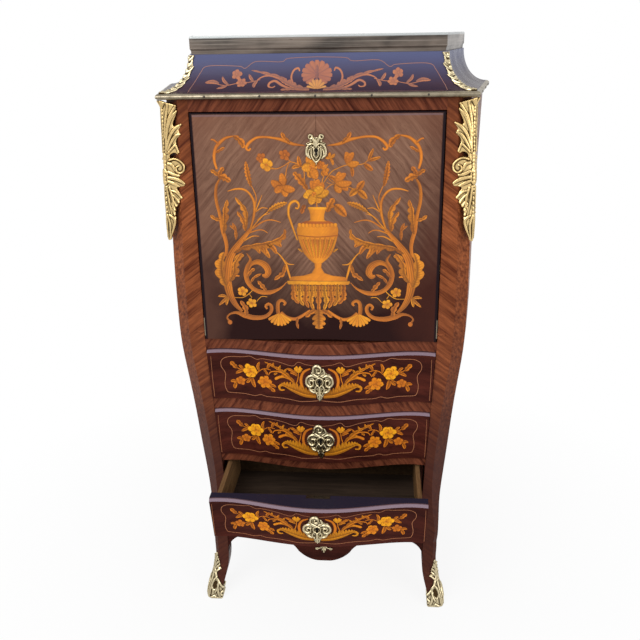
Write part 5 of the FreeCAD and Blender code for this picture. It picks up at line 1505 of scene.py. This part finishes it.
class ESCRITOIRE_OT_drawer_marquetry(bpy.types.Operator):
    """Lay the flower sprays and string in the three drawer fronts."""

    bl_idname = "escritoire.drawer_marquetry"
    bl_label = "Drawer marquetry"

    drawn_height = 0.129
    end_string = 250
    middle_reach = 52
    middle_shift = 8

    def execute(self, context):
        for index, drawer in enumerate(DRAWERS):
            low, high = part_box(drawer + "_front")
            place = self.fitted(Panel(drawer + "_front").from_front(low.z), 1.0 - 0.02 * index,
                                (high.z - low.z) / self.drawn_height)
            art = Inlay(21 + index)
            draw_drawer(art)
            art.lay(drawer + "_marquetry", place, drawer, material("inlay"))
        return {"FINISHED"}

    def fitted(self, place, narrow, share):
        """Draws the sprays in to the middle, and fits them to the width and height of a front."""
        def gathered(x, up):
            inward = 0.0
            if abs(x) < self.end_string:
                inward = math.copysign(self.middle_shift * min(1.0, abs(x) / self.middle_reach), x)
            return place((x - inward) * narrow, up * share)
        return gathered


def cove_hollow():
    """Corners of the cove's front, how far it goes back and up, and the length of its hollow."""
    low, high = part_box("cove_front")
    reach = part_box("top_band")[0].y - low.y
    tall = high.z - low.z
    arc = 0.5 * math.pi * math.sqrt((reach ** 2 + tall ** 2) / 2)
    return low, high, reach, tall, arc


def cove_place():
    """Flat (across, up round the hollow) millimetres to the cove's front."""
    low, high, reach, tall, arc = cove_hollow()
    panel = Panel("cove_front")
    first, last = 0.03, 0.985

    def place(x, up):
        turn = min(last, max(first, up * MM / arc)) * math.pi / 2
        start = Vector((x * MM, low.y, high.z))
        direction = Vector((0, reach * math.sin(turn), -tall * math.cos(turn)))
        return panel.meet(start, direction.normalized())
    return place


class ESCRITOIRE_OT_cove_marquetry(bpy.types.Operator):
    """Lay the shell and scrolls in the hollow of the cornice."""

    bl_idname = "escritoire.cove_marquetry"
    bl_label = "Cove marquetry"

    def execute(self, context):
        art = Inlay(31)
        draw_cove(art)
        art.lay("cove_marquetry", cove_place(), "carcass", material("cove inlay"))
        return {"FINISHED"}


HANDS = ((1, "right"), (-1, "left"))


def front_post(side):
    return "front_right_post" if side > 0 else "front_left_post"


def cast_mount(name, low, high, coarse, draw, place, body, finish_name, replaced):
    """Draw a mount on a grid between two corners, in cells of a share of the usual size."""
    cast = Relief(low, high, ornament().mount_cell / MM * coarse)
    draw(cast)
    cast.cast(name, place, body, material(finish_name), [replaced])


def corner_place(side):
    """Wraps a mount round the square corner that the post's cant cuts off."""
    panel = Panel(front_post(side))
    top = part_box(front_post(side))[1].z - 0.003
    half_cant = 0.015
    nose = 0.009
    front_x = 0.275
    behind_front = 0.06
    crest_drop, crest_half, crest_stand = 14, 40, 0.007
    out = Vector((side * SLANT, -SLANT, 0))
    run = Vector((-side * SLANT, -SLANT, 0))
    rows = {}

    def corner(up):
        key = round(up)
        if key not in rows:
            z = top + min(0.0, up) * MM
            front = panel.meet(Vector((side * front_x, -FAR, z)), BACKWARDS)[0].y
            start = Vector((side * FAR, front + behind_front, z))
            rows[key] = (front, panel.meet(start, Vector((-side, 0, 0)))[0].x)
        return rows[key]

    def place(x, up):
        front, outer = corner(up)
        along = x * MM * SLANT
        curve = math.hypot(along, nose)
        stand = half_cant * 1.4142 - curve
        crest = max(0.0, 1 + up / crest_drop) ** 2 * crest_stand * max(0.0, 1 - abs(x) / crest_half)
        middle = Vector((outer - side * half_cant, front + half_cant, top + up * MM))
        spot = middle + run * along + out * (stand + crest)
        return spot, (out + run * (along / curve)).normalized()
    return place


class ESCRITOIRE_OT_corner_mounts(bpy.types.Operator):
    """Cast the acanthus mounts of the two front corners."""

    bl_idname = "escritoire.corner_mounts"
    bl_label = "Corner mounts"

    def execute(self, context):
        for side, hand in HANDS:
            name = "corner_mount_" + hand
            cast_mount(name + "_cast", (-50, -297), (50, 2), 1.15, draw_corner, corner_place(side),
                       "carcass", "gilt", name)
        return {"FINISHED"}


class ESCRITOIRE_OT_keyhole_plates(bpy.types.Operator):
    """Cast the keyhole plates of the fall and the drawers, with the lock's pin behind each."""

    bl_idname = "escritoire.keyhole_plates"
    bl_label = "Keyhole plates"

    fall_height = 506.0
    drawn_front = 102.0

    def execute(self, context):
        plates = [("fall_escutcheon", "fall_panel", "fall_front", draw_fall_plate, (24, 34),
                   self.fall_height)]
        plates += [(d + "_escutcheon", d + "_front", d, draw_drawer_plate, (36, 42), self.drawn_front)
                   for d in DRAWERS]
        for node, carrier, body, draw, reach, usual in plates:
            low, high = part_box(node)
            place = Panel(carrier).from_front((low.z + high.z) / 2)
            low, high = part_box(carrier)
            tall = (high.z - low.z) / MM / usual
            cast_mount(node + "_cast", (-reach[0], -reach[1]), reach, 0.75, draw,
                       self.stretched(place, tall), body, "pale gilt", node)
            self.lock_pin(node + "_pin", place, body)
        return {"FINISHED"}

    @staticmethod
    def stretched(place, tall):
        return lambda x, up: place(x, up * tall)

    @staticmethod
    def lock_pin(name, place, body):
        """Keyhole: a disc for the lock's iron plate, darkened further as painted shade, with the lock's
        pin standing in it.
        """
        rings = ((6.0, -0.6), (6.0, 0.25), (1.5, 0.25), (1.5, 2.6), (1.0, 3.1))
        count = 16
        pin_reach = 2
        verts = []
        for radius, stand in rings:
            for k in range(count):
                angle = 2 * math.pi * k / count
                stretch = 1.9 if math.sin(angle) < 0 and radius > pin_reach else 1.0
                spot, normal = place(radius * math.cos(angle), radius * math.sin(angle) * stretch)
                verts.append(spot + normal * (stand * MM))
        mesh = mesh_of(name, verts, ring_faces(0, len(rings), count))
        new_object(name, mesh, material("keyhole"), body)


class ESCRITOIRE_OT_apron_mount(bpy.types.Operator):
    """Cast the leaf mount on the apron."""

    bl_idname = "escritoire.apron_mount"
    bl_label = "Apron mount"

    def execute(self, context):
        low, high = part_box("apron_mount")
        place = Panel("apron").from_front((low.z + high.z) / 2)
        cast_mount("apron_mount_cast", (-40, -32), (40, 30), 1.0, draw_apron_mount, place, "carcass",
                   "pale gilt", "apron_mount")
        return {"FINISHED"}


def section_middle(name, height):
    """Middle of the box round a level cut through a node."""
    mesh = NODES[name].data
    spots = np.empty(len(mesh.vertices) * 3)
    mesh.vertices.foreach_get("co", spots)
    spots = spots.reshape(-1, 3)
    ends = np.empty(len(mesh.edges) * 2, int)
    mesh.edges.foreach_get("vertices", ends)
    a, b = spots[ends[0::2]], spots[ends[1::2]]
    crossing = (a[:, 2] - height) * (b[:, 2] - height) < 0
    a, b = a[crossing], b[crossing]
    share = ((height - a[:, 2]) / (b[:, 2] - a[:, 2]))[:, None]
    cut = a + (b - a) * share
    middle = (cut.min(axis=0) + cut.max(axis=0)) / 2
    return Vector((middle[0], middle[1], height))


def sabot_place(side):
    """Wraps a shoe round the foot; across is measured from the outer front corner."""
    post = front_post(side)
    panel = Panel(post)
    lowest, step, count = 4.13, 6.0, 20
    half_round = 72.0
    clear_of_leg = 0.1
    levels = [lowest + step * k for k in range(count)]
    middles = [section_middle(post, level * MM) for level in levels]

    def place(x, up):
        level = min(max(up, lowest), levels[-1] - 0.01)
        k = int((level - lowest) / step)
        centre = middles[k].lerp(middles[k + 1], (level - levels[k]) / step)
        angle = -math.pi / 4 - x / half_round * math.pi * 0.99
        out = Vector((side * math.cos(angle), math.sin(angle), 0))
        hit, normal = panel.meet(centre + out * clear_of_leg, -out)
        flat = Vector((normal.x, normal.y, 0)).normalized() + out
        return Vector((hit.x, hit.y, max(up, 0.0) * MM)), flat.normalized()
    return place


class ESCRITOIRE_OT_sabots(bpy.types.Operator):
    """Cast the leafy shoes of the front feet."""

    bl_idname = "escritoire.sabots"
    bl_label = "Sabots"

    def execute(self, context):
        for side, hand in HANDS:
            cast_mount("sabot_" + hand, (-72, 0), (72, 112), 1.1, draw_sabot, sabot_place(side),
                       "carcass", "pale gilt", "sabots")
        return {"FINISHED"}


def mitre_place(side):
    """Lays a strip over the mitre of the cove, half on its front and half on its side."""
    low, high, reach, tall, arc = cove_hollow()
    splay = 0.147
    blend_reach = 4.0
    last = 0.99

    def place(x, up):
        turn = min(last, max(0.0, up * MM / arc)) * math.pi / 2
        inset = reach * math.sin(turn)
        z = low.z + tall * (1 - math.cos(turn))
        corner_x = high.x - inset
        corner_y = low.y + inset
        level = math.cos(turn) / tall
        steep = math.sin(turn) / reach
        if x >= 0:
            spot = Vector((side * (corner_x - x * MM), corner_y, z))
            normal = Vector((0, -steep, level))
        else:
            spot = Vector((side * (corner_x - x * MM * splay), corner_y - x * MM, z))
            normal = Vector((side * steep, 0, level))
        blend = max(0.0, 1 - abs(x) / blend_reach)
        shared = Vector((side * steep * SLANT, -steep * SLANT, level))
        blended = normal.normalized() * (1 - blend) + shared.normalized() * blend
        return spot, blended.normalized()
    return place


class ESCRITOIRE_OT_cove_mounts(bpy.types.Operator):
    """Cast the leafy strips along the mitres of the cove."""

    bl_idname = "escritoire.cove_mounts"
    bl_label = "Cove mounts"

    def execute(self, context):
        for side, hand in HANDS:
            cast_mount("cove_mount_" + hand, (-17, 0), (17, 110), 1.0, draw_cove_mount,
                       mitre_place(side), "carcass", "pale gilt", "cove_mounts")
        return {"FINISHED"}


class ESCRITOIRE_OT_moulding_nails(bpy.types.Operator):
    """Drive the domed nails that hold the brass moulding."""

    bl_idname = "escritoire.moulding_nails"
    bl_label = "Moulding nails"

    apart = 0.114
    from_corner = 0.012

    def execute(self, context):
        rings = ((2.3, -0.8), (2.3, 0.3), (1.9, 0.9), (1.1, 1.35), (0.3, 1.5))
        count = 12
        verts = []
        faces = []
        for spot, normal in self.spots():
            faces += ring_faces(len(verts), len(rings), count)
            turn = normal.to_track_quat("Z", "Y")
            for radius, stand in rings:
                for k in range(count):
                    angle = 2 * math.pi * k / count
                    point = Vector((radius * math.cos(angle), radius * math.sin(angle), stand))
                    verts.append(spot + turn @ point * MM)
        mesh = mesh_of("moulding_nails", verts, faces)
        smooth_faces(mesh)
        new_object("moulding_nails", mesh, material("iron"), "carcass")
        return {"FINISHED"}

    def spots(self):
        """Points and normals of the nails, along the front and then round each side."""
        panel = Panel("brass_moulding")
        low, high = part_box("brass_moulding")
        level = (low.z + high.z) / 2
        front = [self.apart * k for k in (-2, -1, 0, 1, 2)]
        spots = [panel.meet(Vector((x, -FAR, level)), BACKWARDS) for x in front]
        for side in (1, -1):
            x = side * (high.x - self.from_corner)
            spots.append(panel.meet(Vector((x, -FAR, level)), BACKWARDS))
            for k in (0.6, 1.6, 2.6):
                start = Vector((side * FAR, low.y + self.apart * k, level))
                spots.append(panel.meet(start, Vector((-side, 0, 0))))
        return spots


class ESCRITOIRE_OT_stage(bpy.types.Operator):
    """Pale floor, soft lamps, white surroundings and the camera."""

    bl_idname = "escritoire.stage"
    bl_label = "Stage"

    def execute(self, context):
        scene = context.scene
        stage = scene.escritoire_stage
        scene.view_settings.view_transform = "Standard"
        self.floor()
        self.surroundings(scene, stage)
        self.lamp("Key Lamp", (-1.6, -2.6, 3.0), stage.key, 2.6)
        self.lamp("Fill Lamp", (2.4, -2.2, 1.8), stage.key * 0.45, 2.2)
        self.camera(scene, stage)
        return {"FINISHED"}

    @staticmethod
    def straight_seen(tree):
        """One where the camera looks straight at the ground or backdrop, or sees it reflected."""
        path = tree.nodes.new("ShaderNodeLightPath")
        clear = plus(tree, path.outputs["Is Camera Ray"], path.outputs["Is Transmission Ray"], True)
        return plus(tree, clear, path.outputs["Is Glossy Ray"], True)

    def floor(self):
        size = 8.0
        verts = [(-size, -size, 0), (size, -size, 0), (size, size, 0), (-size, size, 0)]
        mesh = mesh_of("floor", verts, [[0, 1, 2, 3]])
        obj = linked("floor", mesh)
        paint = bpy.data.materials.new("Pale Floor")
        tree = bare_tree(paint)
        matt = add(tree, "ShaderNodeBsdfDiffuse", {"Color": (0.9, 0.9, 0.9, 1)})
        glow = add(tree, "ShaderNodeEmission", {"Color": (1, 1, 1, 1), "Strength": 1.0})
        far = add(tree, "ShaderNodeVectorMath", {0: spot_of(tree)}, operation="LENGTH").outputs["Value"]
        seen = times(tree, self.straight_seen(tree), spread(tree, far, 0.3, 1.3, 0.88, 1.0))
        both = add(tree, "ShaderNodeMixShader", {0: seen, 1: matt.outputs[0], 2: glow.outputs[0]})
        add(tree, "ShaderNodeOutputMaterial", {"Surface": both.outputs[0]})
        mesh.materials.append(paint)

    def surroundings(self, scene, stage):
        world = bpy.data.worlds.new("Studio")
        scene.world = world
        tree = bare_tree(world)
        strength = spread(tree, self.straight_seen(tree), 0.0, 1.0, stage.ambient, 1.0)
        sky = add(tree, "ShaderNodeBackground", {"Color": (1, 1, 1, 1), "Strength": strength})
        add(tree, "ShaderNodeOutputWorld", {"Surface": sky.outputs[0]})

    @staticmethod
    def lamp(name, spot, power, size):
        data = bpy.data.lights.new(name, "AREA")
        data.energy = power
        data.size = size
        obj = linked(name, data)
        obj.location = spot
        aim = Vector((0, 0, 0.8)) - Vector(spot)
        obj.rotation_euler = aim.to_track_quat("-Z", "Y").to_euler()

    @staticmethod
    def camera(scene, stage):
        data = bpy.data.cameras.new("Camera")
        data.sensor_width = 36.0
        data.lens = stage.focal
        obj = linked("Camera", data)
        yaw, pitch, lean = stage.yaw, stage.pitch, stage.roll
        ahead = Vector((-math.sin(yaw) * math.cos(pitch), math.cos(yaw) * math.cos(pitch),
                        -math.sin(pitch)))
        right = Vector((math.cos(yaw), math.sin(yaw), 0))
        up = right.cross(ahead)
        tilted = right * math.cos(lean) + up * math.sin(lean)
        raised = up * math.cos(lean) - right * math.sin(lean)
        turn = Matrix((tilted, raised, -ahead)).transposed()
        obj.matrix_world = Matrix.Translation(Vector(stage.eye)) @ turn.to_4x4()
        scene.camera = obj


class ESCRITOIRE_PT_panel(bpy.types.Panel):
    """Steps that dress the escritoire."""

    bl_idname = "ESCRITOIRE_PT_panel"
    bl_label = "Escritoire"
    bl_space_type = "VIEW_3D"
    bl_region_type = "UI"
    bl_category = "Escritoire"

    def draw(self, context):
        for step in STEPS:
            self.layout.operator(step.bl_idname)


STEPS = (
    ESCRITOIRE_OT_finishes,
    ESCRITOIRE_OT_fall_marquetry,
    ESCRITOIRE_OT_drawer_marquetry,
    ESCRITOIRE_OT_cove_marquetry,
    ESCRITOIRE_OT_corner_mounts,
    ESCRITOIRE_OT_keyhole_plates,
    ESCRITOIRE_OT_apron_mount,
    ESCRITOIRE_OT_sabots,
    ESCRITOIRE_OT_cove_mounts,
    ESCRITOIRE_OT_moulding_nails,
    ESCRITOIRE_OT_stage,
)
SETTINGS = {
    "escritoire_finish": ESCRITOIRE_PG_finish,
    "escritoire_ornament": ESCRITOIRE_PG_ornament,
    "escritoire_stage": ESCRITOIRE_PG_stage,
}
CLASSES = (*SETTINGS.values(), *STEPS, ESCRITOIRE_PT_panel)


def register():
    for cls in CLASSES:
        bpy.utils.register_class(cls)
    for name, cls in SETTINGS.items():
        setattr(bpy.types.Scene, name, PointerProperty(type=cls))


def unregister():
    for name in SETTINGS:
        delattr(bpy.types.Scene, name)
    for cls in reversed(CLASSES):
        bpy.utils.unregister_class(cls)


def main():
    register()
    for step in STEPS:
        getattr(bpy.ops.escritoire, step.bl_idname.split(".")[1])()


if __name__ == "__main__":
    main()
